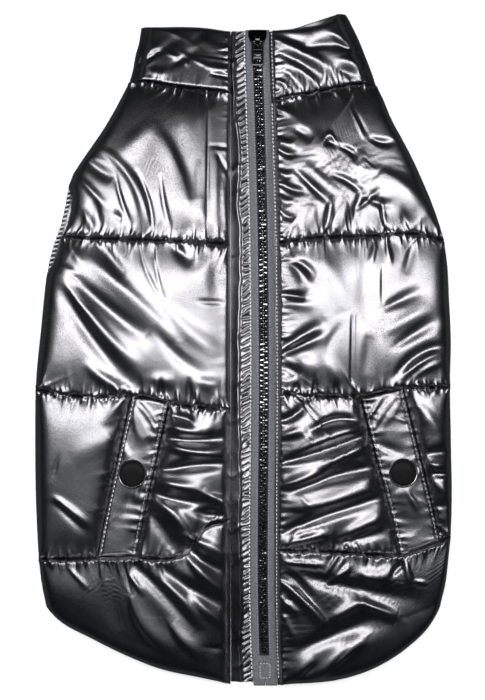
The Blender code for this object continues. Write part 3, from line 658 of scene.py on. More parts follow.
class Finish:
    """A material being written: where it is, its textures, and its shader."""

    def __init__(self, name):
        self.material = bpy.data.materials.new(name)
        self.material.use_nodes = True
        self.tree = self.material.node_tree
        self.shader = self.tree.nodes["Principled BSDF"]
        self.place = make_node(self.tree, "ShaderNodeTexCoord", {}, (), "Object")

    def node(self, kind, settings, values, output=0):
        return make_node(self.tree, kind, settings, values, output)

    def stretched(self, x, y, z):
        """The place with each axis scaled by its own number."""
        return self.node("ShaderNodeVectorMath", {"operation": "MULTIPLY"},
                         (self.place, (x, y, z)))

    def noise(self, per_metre, detail=2.0, roughness=0.5, place=None):
        return self.node("ShaderNodeTexNoise", {}, {
            "Vector": place or self.place, "Scale": per_metre, "Detail": detail,
            "Roughness": roughness})

    def between(self, factor, low, high):
        """A colour from low to high as the factor goes from 0 to 1."""
        return self.mix(factor, (*low, 1), (*high, 1))

    def mix(self, factor, low, high):
        """The same between two sockets or colours with alpha."""
        return self.node("ShaderNodeMix", {"data_type": "RGBA"}, {0: factor, 6: low, 7: high}, 2)

    def part_of(self, value, low, high):
        """0 where the value is low, 1 where it is high."""
        return self.node("ShaderNodeMapRange", {}, {
            "Value": value, "From Min": low, "From Max": high})

    def bumped(self, height, distance, strength=1.0, under=None):
        return self.node("ShaderNodeBump", {}, {
            "Strength": strength, "Distance": distance, "Height": height, "Normal": under})

    def shade(self, **sockets):
        for name, value in sockets.items():
            socket = self.shader.inputs[name.replace("_", " ")]
            if isinstance(value, Node):
                self.tree.links.new(value.socket, socket)
            else:
                socket.default_value = value
        return self.material


def foil_cloth():
    """Metal-coated nylon: a fine weave under a bright film, with small crinkles."""
    finish = Finish("foil_cloth")
    crinkle = finish.noise(330, 3.0, 0.55)
    grain = finish.noise(1500, 1.0, 0.5)
    broad = finish.noise(28, 2.0, 0.5)
    crinkled = finish.bumped(crinkle, 0.0005, 0.12)
    surface = finish.bumped(grain, 0.00014, 0.35, crinkled)
    specks = finish.part_of(finish.noise(1900, 2.0, 0.7), 0.50, 0.60)
    worn = finish.part_of(finish.noise(22, 2.0), 0.42, 0.68)
    plain = finish.between(broad, (0.29, 0.29, 0.315), (0.38, 0.375, 0.39))
    return finish.shade(
        Base_Color=finish.mix(specks * (0.18 + 0.75 * worn), plain, (0.12, 0.12, 0.13, 1)),
        Metallic=1.0,
        Roughness=0.24 + 0.14 * finish.noise(90, 2.0),
        Normal=surface)


def zip_tape_cloth(name, dark, light):
    """Matt woven cloth."""
    finish = Finish(name)
    ribs = finish.stretched(9000, 4200, 0)
    across = finish.node("ShaderNodeSeparateXYZ", {}, (ribs,), "X")
    along = finish.node("ShaderNodeSeparateXYZ", {}, (ribs,), "Y")
    weave = across.wave() * along.wave()
    shade = finish.noise(900, 2.0, 0.6)
    return finish.shade(
        Base_Color=finish.between(shade, dark, light),
        Roughness=0.75,
        Normal=finish.bumped(weave * 0.5 + shade, 0.0003, 0.9))


def twisted_thread(name, dark, light, roughness):
    """Thread with a faint twist."""
    finish = Finish(name)
    twist = finish.noise(2600, 1.0, 0.5)
    return finish.shade(
        Base_Color=finish.between(twist, dark, light),
        Roughness=roughness,
        Normal=finish.bumped(twist, 0.0001, 0.5))


def black_gloss(name, colour, metallic, roughness, uneven=0.1):
    """Moulded or plated black with a faint flow pattern and tiny scratches."""
    finish = Finish(name)
    flow = finish.noise(240, 3.0, 0.6)
    scratch = finish.noise(500, 2.0, 0.5, finish.stretched(8, 1, 1))
    lighter = tuple(c * 1.7 for c in colour)
    return finish.shade(
        Base_Color=finish.between(flow, colour, lighter),
        Metallic=metallic,
        Roughness=roughness + uneven * scratch,
        Normal=finish.bumped(flow, 0.00008, 0.25))


foil = foil_cloth()
tape_cloth = zip_tape_cloth("zip_tape", (0.03, 0.032, 0.04), (0.15, 0.155, 0.172))
# near-black cord finish: painted shade for the dark gaps between the zip teeth
cord_painted_shade = zip_tape_cloth("zip_cord_painted_shade", (0.008, 0.008, 0.01), (0.02, 0.02, 0.024))
thread = twisted_thread("thread", (0.34, 0.345, 0.36), (0.62, 0.625, 0.64), 0.4)
teeth_gloss = black_gloss("teeth_gloss", (0.26, 0.26, 0.27), 1.0, 0.05)
binding = twisted_thread("binding_thread", (0.10, 0.102, 0.11), (0.30, 0.305, 0.32), 0.5)
plated = black_gloss("black_plating", (0.055, 0.055, 0.058), 1.0, 0.04, 0.04)
cap_matte = black_gloss("snap_black", (0.004, 0.004, 0.004), 0.0, 0.2)
cap_matte.node_tree.nodes["Principled BSDF"].inputs["Specular IOR Level"].default_value = 0.03
ring_metal = black_gloss("snap_ring", (0.42, 0.42, 0.43), 1.0, 0.2)


# ------------------------------------------------------------------ shared shapes
def tube(middles, girths, ups, sides=6):
    """Points and faces of a closed tube through these middles."""
    runs = np.gradient(middles, axis=0)
    runs /= np.linalg.norm(runs, axis=1)[:, None]
    across = np.cross(runs, ups)
    across /= np.linalg.norm(across, axis=1)[:, None]
    ups = np.cross(across, runs)
    angles = np.linspace(0, 2 * np.pi, sides, endpoint=False)
    girths = np.asarray(girths)[:, None, None]
    ring = (middles[:, None] + across[:, None] * np.cos(angles)[None, :, None] * girths
            + ups[:, None] * np.sin(angles)[None, :, None] * girths)
    return ring.reshape(-1, 3), ring_faces(len(middles), sides)


def stitch_run(path, stitch, pitch, radius, sink, turn=0.0):
    """Short rounded stitches along a path of surface points, each dipping in at its ends and
    turned by this much from the path."""
    path = np.asarray(path, float)
    reach = distances(path)
    made = []
    for start in np.arange(0, reach[-1] - stitch, pitch):
        ends = np.stack([np.interp([start, start + stitch], reach, path[:, axis])
                         for axis in range(3)], axis=1)
        run = ends[1] - ends[0]
        turned = np.array([run[0] * math.cos(turn) - run[1] * math.sin(turn),
                           run[0] * math.sin(turn) + run[1] * math.cos(turn), run[2]])
        part = np.linspace(-0.5, 0.5, STITCH_RINGS)[:, None]
        arch = np.sin(np.linspace(0.12, np.pi - 0.12, STITCH_RINGS))
        middles = ends.mean(axis=0) + turned * part
        middles[:, 2] += (arch - 1) * sink + radius * 0.6
        made.append(tube(middles, radius * (0.55 + 0.45 * arch), np.array([[0, 0, 1.0]])))
    return joined(made)


def plate(outlines, bottom, top, bevel):
    """Points and faces of a flat plate with rounded edges: the first outline is its edge and the
    others are cut through."""
    curve = bpy.data.curves.new("plate", "CURVE")
    curve.dimensions = "2D"
    curve.fill_mode = "BOTH"
    curve.extrude = ((top - bottom) / 2 - bevel) * MM
    curve.bevel_depth = bevel * MM
    curve.bevel_resolution = 2
    curve.offset = -bevel * MM
    for outline in outlines:
        spline = curve.splines.new("POLY")
        spline.points.add(len(outline) - 1)
        for point, (x, y) in zip(spline.points, outline):
            point.co = (x * MM, y * MM, 0, 1)
        spline.use_cyclic_u = True
    mesh = bmesh.new()
    mesh.from_mesh(mesh_of(in_scene("plate", curve)))
    bmesh.ops.remove_doubles(mesh, verts=mesh.verts, dist=0.01 * MM)
    points = np.array([vert.co for vert in mesh.verts]) / MM + (0, 0, (bottom + top) / 2)
    faces = [[vert.index for vert in face.verts] for face in mesh.faces]
    mesh.free()
    return points, faces


def rounded_box(half_x, high_y, low_y, radius, steps=5):
    """The outline of a box with round corners."""
    outline = []
    for x, y, start in ((half_x, high_y, 0), (-half_x, high_y, 90), (-half_x, low_y, 180),
                        (half_x, low_y, 270)):
        for k in range(steps + 1):
            angle = math.radians(start + 90 * k / steps)
            outline.append((x - math.copysign(radius, x) + radius * math.cos(angle),
                            y - (radius if start < 180 else -radius) + radius * math.sin(angle)))
    return outline


def turned(profile, steps=64):
    """Points and faces of a profile of (radius, height) turned round its axis."""
    angles = np.linspace(0, 2 * np.pi, steps, endpoint=False)
    profile = np.array(profile, float)
    ring = np.stack([profile[:, :1] * np.cos(angles), profile[:, :1] * np.sin(angles),
                     profile[:, 1:] + 0 * angles], axis=-1).reshape(-1, 3)
    return ring, ring_faces(len(profile), steps)


# ------------------------------------------------------------------ collar
def collar_half(top, seam, side, zip_x_of, inset, folds, seed, neck_swell, seam_swell, seam_lift,
                margin, fullness):
    """Outer points of half the collar's upper layer, neck edge to seam, zip to side fold.

    The two swells are the distance and the steep share, as swelling takes them."""
    zip_y, beyond = top
    corner_x, corner_y = side[0]
    top_line = Line([(zip_x_of(zip_y), zip_y), *beyond, (corner_x + inset, corner_y)])
    reach = 1 - abs(inset) / seam.length
    bottom = Line(seam.at(np.linspace(0, reach, 17)) + (0, GAP), steps=1)
    side_line = Line([*((x + inset, y) for x, y in side[:-1]), bottom.at(1)])
    inner = edge_line(zip_x_of, zip_y, seam.at(0)[1] + GAP)
    parts = np.linspace(0, 1, COLLAR_COLUMNS + 1)
    plan = patch(top_line, bottom, inner, side_line, parts, parts, crowded(COLLAR_ROWS))
    x, y = plan[..., 0], plan[..., 1]
    to_top, to_bottom = apart(plan, top_line.at(parts)), apart(plan, bottom.at(parts))
    to_zip, to_side = apart(plan, plan[:, :1]), apart(plan, plan[:, -1:])
    edge = np.where(to_top < to_bottom, NECK_Z, SEAM_Z)
    below = seam_lift + (1 - seam_lift) * swelling(to_bottom, seam_swell[0], share=seam_swell[1])
    swell = (swelling(to_top, neck_swell[0], share=neck_swell[1]) * below
             * swelling(np.maximum(to_zip - margin, 0), 7, ZIP_WALL)
             * (0.35 + 0.65 * brim(to_side, 13)))
    thick = edge + (COLLAR_LOFT - edge) * swell
    thick += 0.9 * (1 - rise(to_zip, 6))
    thick += fold_height(folds, x, y) * np.sqrt(swell) * COLLAR_BOLDNESS
    along = parts * bottom.length + 0 * x
    seeds = gathers(along, to_bottom, bottom.length, seed, fullness, fullness)
    seeds += gathers(y[0, 0] - y, to_zip, abs(y[0, 0] - y[-1, 0]), seed + 2, 0.5)
    seeds, fine = np.moveaxis(seeds, -1, 0)
    seeds = seeds + mottle(x, y, 12, seed + 3) * 0.8 * swell
    target = np.dstack([plan, BACK_REST + np.maximum(thick, LEAST_THICK)])
    free = np.ones((*x.shape, 1))
    free[0] = free[-1] = 0
    free[:, 0] = free[:, -1] = 0
    begin = target.copy()
    begin[..., 2] += seeds * free[..., 0]
    spare_across = 0.01 + 0.16 * fullness * np.exp(-to_bottom / 6)
    spare_down = 0.01 + 0.10 * np.exp(-to_zip / 5)
    hold = 0.008 / fullness + 0.03 * np.exp(-np.minimum(to_bottom, to_zip) / 4)
    points = settle(begin, target, free, hold, spare_across, spare_down,
                    np.full_like(x, BACK_REST + LEAST_THICK), COLLAR_STAGES)
    points = smoothed(points, 1, 0.4)
    points[..., 2] += fine * free[..., 0]
    return points


def side_fold(ends, reach, middle, half, side):
    """Points round a side fold, from just below its upper end to its lower end."""
    angles = np.pi * np.arange(1, FOLD_STEPS + 1) / FOLD_STEPS
    return np.stack([ends[:, :1] + side * reach * np.sin(angles), ends[:, 1:2] + 0 * angles,
                     middle + half * np.cos(angles)], axis=-1)


def collar(left, right):
    """The collar: two upper halves joined round the side folds by the layer underneath."""
    end_left, end_right = left[:, -1], right[:, -1]
    part = (np.arange(1, UNDER_STEPS) / UNDER_STEPS)[None, :, None]
    between = end_left[:, None] * (1 - part) + end_right[:, None] * part
    rows = len(left)
    sag = UNDER_SAG * (1 - (2 * part[..., 0] - 1) ** 4)
    between[..., 1] -= sag * (1 - np.linspace(0, 1, rows)[:, None])
    to_rim = np.minimum(np.arange(rows), np.arange(rows)[::-1])[:, None] * 0.8
    under = between.copy()
    under[..., 2] = 1.4 * (1 - rise(to_rim, 2.5)) + 0.35 * (1 + mottle(
        between[..., 0], between[..., 1], 14, 61)) * rise(to_rim, 5)
    slit = np.full((rows, 1), (BACK_REST - UNDER_COLLAR_THICK) / 2)
    middle = np.full((rows, 1), (BACK_REST + UNDER_COLLAR_THICK) / 2)
    outer, inner = [left], [np.dstack([left[..., :2], 0 * left[..., 0] + BACK_REST])]
    for ends, side in ((end_left, -1), (end_right, 1)):
        half = ends[:, 2:3] / 2
        reach = COLLAR_FOLD + 0.4 * mottle(ends[:, 1:2], 0 * half, 9, 62 + side)
        bend = side_fold(ends, reach, half, half, side)
        slot_bend = side_fold(ends, slit, middle, slit, side)
        outer.append(bend if side < 0 else bend[:, ::-1])
        inner.append(slot_bend if side < 0 else slot_bend[:, ::-1])
        if side < 0:
            outer.append(under)
            inner.append(np.dstack([between[..., :2], 0 * between[..., 0] + UNDER_COLLAR_THICK]))
    outer.append(right[:, ::-1])
    inner.append(np.dstack([right[..., :2], 0 * right[..., 0] + BACK_REST])[:, ::-1])
    outer, inner = np.concatenate(outer, axis=1), np.concatenate(inner, axis=1)
    outer[..., 2] = np.maximum(outer[..., 2], 0.02)
    piece = make_piece("collar_cloth", *wall_mesh(outer, inner[:, ::LINING_STEP], LINING_STEP),
                       foil, "shell")
    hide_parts("collar")


# ------------------------------------------------------------------ belly
def leg_oval(x, y, turn, grow=0.0, steps=140):
    """A leg opening's edge, or an oval this much larger."""
    tilt = math.radians(-turn)
    angles = np.linspace(0, 2 * np.pi, steps, endpoint=False)
    across, along = (LEG_WIDE / 2 + grow) * np.cos(angles), (LEG_LONG / 2 + grow) * np.sin(angles)
    return np.stack([x + across * math.cos(tilt) - along * math.sin(tilt),
                     y + across * math.sin(tilt) + along * math.cos(tilt)], axis=1)


def nearest(points, line):
    """Distance of plan points to the nearest point of a line."""
    return np.min([np.hypot(points[:, 0] - x, points[:, 1] - y) for x, y in line], axis=0)


def belly():
    """The padded panel underneath, with soft troughs where it lies, and bound leg openings."""
    holder = in_scene("belly_form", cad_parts["belly"].data.copy())
    remesh = holder.modifiers.new("even_mesh", "REMESH")
    remesh.mode = "VOXEL"
    remesh.voxel_size = BELLY_VOXEL * MM
    data = mesh_of(holder)
    points = np.empty(len(data.vertices) * 3)
    data.vertices.foreach_get("co", points)
    points = points.reshape(-1, 3) / MM
    faces = [list(face.vertices) for face in data.polygons]
    x, y, z = points.T
    edges = np.concatenate([leg_oval(*opening) for opening in LEG_OPENINGS])
    high, low, inset = LEG_EDGE_SHOWS
    rim_y = np.linspace(high, low, 60)
    rim = np.stack([left_side.across(rim_y, 1), rim_y], axis=1)
    to_rim = nearest(points, np.concatenate([edges, rim]))
    middle = BACK_REST / 2
    thin = 0.5 + 0.5 * soft_ramp(to_rim, 0, 5)
    z = middle + (np.clip(z, 0, BACK_REST) - middle) * thin
    under = 1 - soft_ramp(z, 0.5, 2.6)
    relief = (0.55 + 0.45 * mottle(x, y, 26, 71)) ** 2 + 0.35 * (1 + mottle(x, y, 11, 72)) / 2
    relief += 1.3 * np.maximum(fold_height(BELLY_FOLDS, x, y), 0)
    seams = np.exp(-((to_rim - 5.5) / 0.9) ** 2)
    z += under * np.clip(relief * soft_ramp(to_rim, 1, 6) + 0.6 * seams, 0, 2.2) * 0.8
    piece = make_piece("belly_cloth", np.stack([x, y, z], axis=1), faces, foil, "shell")
    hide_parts("belly")
    loops = []
    for number, opening in enumerate(LEG_OPENINGS):
        loops.append(overlock(leg_oval(*opening), leg_oval(*opening, grow=1.0), number))
    loops.append(overlock(rim, rim + (1.0, 0), 5))
    make_piece("leg_opening_binding", *joined(loops), thread, "shell")


def overlock(edge, inwards, seed):
    """Thread loops wrapped round an edge, between the two faces of the belly panel."""
    reach = distances(edge)
    random = np.random.default_rng(seed)
    turn = np.linspace(-1.15, 1.15, OVERLOCK_RINGS) * np.pi / 2
    made = []
    for place in np.arange(0, reach[-1], OVERLOCK_PITCH):
        at = np.array([np.interp(place, reach, edge[:, axis]) for axis in (0, 1)])
        towards = np.array([np.interp(place, reach, (inwards - edge)[:, axis]) for axis in (0, 1)])
        towards /= np.linalg.norm(towards)
        along = np.array([-towards[1], towards[0]])
        depth = OVERLOCK_REACH * (1 - np.cos(turn)) + 0.1
        lean = np.sin(turn) * OVERLOCK_PITCH * 0.35 + random.uniform(-0.1, 0.1)
        plan = at + towards * depth[:, None] + along * lean[:, None]
        middles = np.column_stack([plan, BACK_REST / 2 + 1.55 * np.sin(turn)])
        girths = np.full(OVERLOCK_RINGS, OVERLOCK_RADIUS) * (0.7 + 0.3 * np.cos(turn * 0.8))
        made.append(tube(middles, girths, np.tile([*along, 0.3], (OVERLOCK_RINGS, 1))))
    return joined(made)


# ------------------------------------------------------------------ zip
def strip_rest(ys):
    """Height of what the zip lies on."""
    return rest_height(zip_x(ys), ys)


def guard_strip():
    """The gathered strip beside the zip: a dark hollow, a soft fold, then the gathers."""
    ys = np.linspace(ZIP_TOP - 1, ZIP_END + 2, GUARD_ROWS + 1)[:, None]
    left = LEFT_PANEL_EDGE + GAP
    right = zip_x(ys) - TAPE_LEFT - GAP
    u = np.linspace(0, 1, GUARD_COLUMNS + 1)[None, :]
    x = left + (right - left) * u
    y = ys + 0 * x
    width = right - left
    fold = 0.40 - 0.22 * soft_ramp(ys, 100, 135) + 0.09 * mottle(y[:, :1], 0 * ys, 17, 81)
    fold = fold + 0.04 * mottle(y[:, :1], 0 * ys, 5, 86)
    crest = 3.1 + 0.25 * mottle(y[:, :1], 0 * ys, 9, 82)
    hollow = 0.8 + (crest - 0.8) * np.clip(u / fold, 0, 1) ** 1.3
    past = (u - fold) * width
    flat = crest - 0.9 * soft_ramp(past, -0.4, 1.8)
    thick = np.where(u < fold, hollow, flat)
    band = soft_ramp(past, 1.5, 2.3) * (1 - 0.8 * soft_ramp(u, 0.93, 1.0))
    slant = ZIP_TOP - y + GUARD_SLANT * past + 1.1 * mottle(x, y, 5, 85)
    part = slant / GUARD_PITCH % 1
    bars = rise(part, 0.8) * (1 - ramp(part, 0.8, 1))
    uneven = 0.8 + 0.45 * mottle(x, y, 4, 83)
    uneven *= 1 - 0.6 * soft_ramp(y, 128, 136) * (1 - soft_ramp(y, 152, 160))
    thick += band * (GUARD_GATHER * bars * uneven - 0.8)
    side_folds = puckers(slant * 0.92, 0 * x + 2, ZIP_TOP - ZIP_END, GUARD_PUCKERS, 84)
    thick += 0.5 * side_folds * (1 - band)
    thick = np.clip(thick, 0.6, 4.4)
    outer = np.dstack([x, y, strip_rest(y) + thick])
    inner = np.dstack([x, y, strip_rest(y)])[:, ::LINING_STEP]
    piece = make_piece("zip_guard_cloth", *wall_mesh(outer, inner, LINING_STEP), foil, "shell")
    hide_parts("zip_guard")
    return outer


def zip_tapes():
    """The two woven tapes, turned down at the neck."""
    ys = np.linspace(ZIP_TOP, ZIP_END, TAPE_ROWS + 1)[:, None]
    for name, side, edge in (("left", -1, TAPE_LEFT), ("right", 1, TAPE_RIGHT)):
        off = np.array([*TAPE_PLACES, edge])[None, :]
        x = zip_x(ys) + side * off
        y = ys + 0 * x
        under_teeth = (1 - soft_ramp(off, 2.4, 2.8)) * soft_ramp(y, TEETH_END - 0.8, TEETH_END)
        z = strip_rest(y) + TAPE_Z + 0.12 * mottle(x, y, 9, 90 + side) - 1.6 * under_teeth
        z -= 1.3 * soft_ramp(y, ZIP_TOP - 3, ZIP_TOP) + 0.25 * soft_ramp(off, edge - 0.4, edge)
        z += 0.25 * np.exp(-((off - 3.1) / 0.35) ** 2)
        outer = np.dstack([x, y, z + TAPE_THICK])
        inner = np.dstack([x, y, z])
        piece = make_piece("zip_tape_%s_cloth" % name, *wall_mesh(outer, inner, 1), tape_cloth,
                           "tape")
        # under the teeth the tape takes the near-black cord finish, painted shade for the gaps
        # between the teeth
        piece.data.materials.append(cord_painted_shade)
        cord_shade_faces = ((np.array(TAPE_PLACES) < 2.4) & (ys[1:] > TEETH_END - 1)).ravel()
        cord_shade_faces = np.concatenate([cord_shade_faces, np.zeros(len(piece.data.polygons) - len(cord_shade_faces), bool)])
        piece.data.polygons.foreach_set("material_index", cord_shade_faces.astype(int))
        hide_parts("zip_tape_" + name)


def tooth_outline():
    """A tooth from above: body, neck, and the knob that reaches past the centre line."""
    reach, wide = KNOB_REACH, KNOB_RADIUS
    half = [(-2.45, 0.0), (-2.42, 0.55), (-2.2, 0.82), (-1.8, 0.9), (-1.15, 0.88),
            (-0.78, 0.68), (-0.5, 0.44), (-0.22, 0.42)]
    for angle in (125, 95, 65, 35, 10):
        turn = math.radians(angle)
        half.append((reach - wide + wide * math.cos(turn), wide * math.sin(turn)))
    return half + [(u, -v) for u, v in half[:0:-1]]


def tooth_row(name, side, start):
    """One row of moulded teeth, each a little tilted."""
    outline = np.array(tooth_outline())
    middle = outline.mean(axis=0)
    faces = ring_faces(len(TOOTH_RINGS), len(outline))
    random = np.random.default_rng(17 + side)
    made = []
    for y in np.arange(TEETH_TOP - start, TEETH_END, -TOOTH_PITCH):
        wide = 3.4 * ramp(y, TEETH_TOP - 6, TEETH_TOP) ** 1.5
        level = sum(much * math.exp(-((y - at) / half) ** 2) for at, half, much in LEVEL_RUNS)
        tilt_u = (0.25 * mottle(y, 3, 23, 95) + random.normal(0, 0.14)) * (1 - level)
        lean = TOOTH_LEAN if y > LEVEL_RUNS[0][0] else -TOOTH_LEAN
        tilt_v = (lean + 0.3 * mottle(y, 9, 19, 96) + random.normal(0, 0.18)) * (1 - level)
        base = strip_rest(y) + TEETH_BOTTOM - BACK_REST
        points = []
        for grow, z in TOOTH_RINGS:
            u, v = ((outline - middle) * grow + middle).T
            droop = KNOB_DROOP * level * np.maximum(u + 0.7, 0)
            lift = z + (tilt_u * u + tilt_v * v - droop) * (z > 1)
            x = zip_x(y) - side * (u - wide * 0.3)
            points.append(np.column_stack([x, y + v, base + lift]))
        made.append((np.concatenate(points), faces))
    piece = make_piece(name + "_moulded", *joined(made), teeth_gloss, "teeth",
                       crease=math.radians(32))
    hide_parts(name)


def slider():
    """The slider: two plates that narrow downwards, side flanges, a post and an arched bridge."""
    low, high = 5.2, 9.6
    y0, y1 = 164.8, 172.6
    half_top, half_low = 4.95, 3.7
    middle = zip_x((y0 + y1) / 2)
    outline = [(half_top - 0.9, y1), (-half_top + 0.9, y1), (-half_top + 0.25, y1 - 0.3),
               (-half_top, y1 - 1.1), (-half_top, y1 - 3.4), (-half_low - 0.5, y1 - 5.6),
               (-half_low, y0 + 0.6), (-half_low + 0.5, y0), (half_low - 0.5, y0),
               (half_low, y0 + 0.6), (half_low + 0.5, y1 - 5.6), (half_top, y1 - 3.4),
               (half_top, y1 - 1.1), (half_top - 0.25, y1 - 0.3)]
    parts = [plate([outline], low, low + 0.9, 0.25), plate([outline], high - 1.1, high, 0.38)]
    for side in (-1, 1):
        flange = [(side * (half_top - 0.75), y1 - 1.0), (side * half_top, y1 - 1.2),
                  (side * half_top, y1 - 3.4), (side * (half_low + 0.5), y1 - 5.6),
                  (side * half_low, y0 + 0.7), (side * (half_low - 0.75), y0 + 0.7),
                  (side * (half_low - 0.25), y1 - 5.6), (side * (half_top - 0.75), y1 - 3.5)]
        parts.append(plate([flange], high - 2.2, high - 0.7, 0.25))
    parts.append(plate([rounded_box(1.1, y1 - 1, y1 - 3.2, 0.5)], low + 0.5, high - 0.5, 0.1))
    turn = np.linspace(0, np.pi, 17)
    arch_y = BRIDGE_MIDDLE_Y + BRIDGE_HALF_LONG * np.cos(turn)
    arch_z = high - 0.3 + (BRIDGE_RISE + 0.3) * np.sin(turn) ** 0.7
    band = [(-1.3, -0.1), (-1.05, 0.32), (0, 0.45), (1.05, 0.32), (1.3, -0.1), (0, -0.2)]
    points = []
    slopes = np.arctan2(np.gradient(arch_z), np.gradient(arch_y))
    for y, z, slope in zip(arch_y, arch_z, slopes):
        for across, lift in band:
            points.append((across, y + lift * math.sin(slope), z - lift * math.cos(slope)))
    parts.append((np.array(points), ring_faces(len(turn), len(band))))
    points, faces = joined(parts)
    piece = make_piece("zip_slider_plated", points + (middle, 0, 0), faces, plated, "hardware",
                       crease=HARD_CREASE)
    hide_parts("zip_slider")


def zip_pull():
    """The pull: a frame with a window at each end and a solid block between two cross bars."""
    edge = rounded_box(PULL_HALF, 0.62, -PULL_LONG, 1.3)
    top_window = rounded_box(1.75, -0.6, -4.3, 0.5)
    low_window = rounded_box(1.9, 3.75 - PULL_LONG, 1.0 - PULL_LONG, 0.7)
    parts = [plate([edge, top_window, low_window], -0.6, 0.5, 0.22)]
    for y in (-4.9, 4.7 - PULL_LONG):
        parts.append(plate([rounded_box(2.5, y + 0.34, y - 0.34, 0.3)], 0.2, 0.78, 0.24))
    parts.append(plate([rounded_box(2.2, -5.7, 5.5 - PULL_LONG, 0.5)], 0.2, 0.66, 0.2))
    points, faces = joined(parts)
    droop = math.atan2(PULL_BAR_Z - PULL_TIP_Z, PULL_LONG)
    x, y, z = points.T
    points = np.column_stack([x + zip_x(PULL_BAR_Y),
                              PULL_BAR_Y + y * math.cos(droop) - z * math.sin(droop),
                              PULL_BAR_Z + y * math.sin(droop) + z * math.cos(droop)])
    piece = make_piece("zip_pull_plated", points, faces, plated, "hardware", "pull", HARD_CREASE)
    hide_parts("zip_pull")


def zip_details(guard, panel, collar_edge):
    """Stitches on both sides of the tapes, dashes beside the teeth, and the patch at the hem."""
    column = int(GUARD_COLUMNS * 0.97)
    left_path = guard[2:-4, column] + (0, 0, 0.1)
    paths = left_path, collar_edge[2:-2, 2], panel[3:-6, 1]
    runs = [stitch_run(path, stitch=1.45, pitch=2.2, radius=0.42, sink=0.25, turn=0.12)
            for path in paths]
    make_piece("zip_stitches", *joined(runs), thread, "tape")
    dashes = []
    for side in (-1, 1):
        ys = np.linspace(TEETH_TOP - 8, TEETH_END, 240)
        path = np.column_stack([zip_x(ys) + side * 3.15, ys, strip_rest(ys) + 2.5])
        dashes.append(stitch_run(path, stitch=0.9, pitch=1.43, radius=0.2, sink=0.12,
                                 turn=math.pi / 2))
    make_piece("tape_dashes", *joined(dashes), binding, "tape")
    x, y = zip_x(PATCH_Y), PATCH_Y
    outline = [(x + u, y + v) for u, v in rounded_box(3.4, 4.6, -4.6, 0.6)]
    make_piece("zip_end_patch", *plate([outline], *PATCH_Z, 0.2), tape_cloth, "tape")
    corners = [(-2.7, 3.9), (2.7, 3.9), (2.7, -3.9), (-2.7, -3.9), (-2.7, 3.9)]
    path = []
    for a, b in zip(corners, corners[1:]):
        for k in range(12):
            part = k / 12
            path.append((x + a[0] + (b[0] - a[0]) * part, y + a[1] + (b[1] - a[1]) * part,
                         PATCH_Z[1]))
    run = stitch_run(path, stitch=1.1, pitch=1.6, radius=0.17, sink=0.12)
    make_piece("zip_end_stitches", *run, thread, "tape")


# ------------------------------------------------------------------ pocket welts and snaps
def pocket_welt(side, panel, welt_columns, folds, puckered, seed):
    """A strip of cloth stitched down along both edges. Puckered says how gathered its edge
    towards the zip is, then the one towards the side. Returns its upper points."""
    first, second = welt_columns
    bed = panel[WELT_BAFFLE * ROWS + 1:(WELT_BAFFLE + 1) * ROWS, first:second + 1]
    low = bed + (0, 0, GAP)
    plan = bed[..., :2]
    x, y = plan[..., 0], plan[..., 1]
    to_inner, to_outer = apart(plan, plan[:, :1]), apart(plan, plan[:, -1:])
    ends = np.minimum(np.arange(len(bed)), np.arange(len(bed))[::-1])[:, None] * 0.8
    near = np.minimum(to_inner, to_outer)
    crown = WELT_CROWN_HEIGHT * arc(near, WELT_CROWN)
    thick = 0.7 + (0.6 * rise(near, 2.4) + crown) * rise(ends, 2.5)
    thick += fold_height(folds, x, y) * soft_ramp(near, 0.5, 3) * soft_ramp(ends, 0, 3)
    thick -= 0.35 * np.exp(-((near - WELT_STITCH) / 0.55) ** 2)
    down = y[0, 0] - y
    length = abs(y[0, 0] - y[-1, 0])
    for away, strength, number in ((to_inner, puckered[0], 1), (to_outer, puckered[1], 2)):
        beads = puckers(down, away, length, WELT_BEADS, seed + number)
        thick += strength * (beads + 0.8 * puckers(down, away, length, WELT_PUCKERS,
                                                   seed + number + 5))
    thick += 0.35 * mottle(x, y, 14, seed) * soft_ramp(near, 1, 5)
    thick += WELT_TILT * (y - y.mean())
    high = low + np.dstack([0 * x, 0 * x, np.clip(thick, 0.5, 4.2)])
    name = "pocket_welt_" + side
    mesh = wall_mesh(high, low[:, ::LINING_STEP], LINING_STEP)
    piece = make_piece(name + "_cloth", *mesh, foil, "shell")
    wide = float(apart(plan[:, -1], plan[:, 0]).mean())
    across, along = WELT_FULLNESS
    length * along * MM
    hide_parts(name)
    spacing = wide / (high.shape[1] - 1)
    near_column = max(1, round(WELT_STITCH / spacing))
    for number, column in enumerate((near_column, high.shape[1] - 1 - near_column)):
        run = stitch_run(high[2:-2, column], stitch=1.5, pitch=2.5, radius=0.28, sink=0.25)
        make_piece("%s_stitches_%d" % (name, number + 1), *run,
                   binding if puckered[number] > 0.5 else thread, "shell")
    return high


def snap(side, welt):
    """A black cap in a polished ring, pressed a little into its welt."""
    centre = SNAP_CENTRES[side]
    close = np.hypot(welt[..., 0] - centre[0], welt[..., 1] - centre[1]) < 7.0
    seat = np.median(welt[..., 2][close]) - 0.1
    tilt = SNAP_TILT[side]
    for part, profile, finish in (("cap", SNAP_CAP, cap_matte), ("ring", SNAP_RING, ring_metal)):
        points, faces = turned(profile)
        x, y, z = points.T
        z = z + x * tilt[0] + y * tilt[1]
        points = np.column_stack([x, y, z]) + (*centre, seat)
        piece = make_piece("snap_%s_%s" % (side, part), points, faces, finish, "hardware",
                           crease=HARD_CREASE)
        if part == "cap":
            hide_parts("snap_" + side)


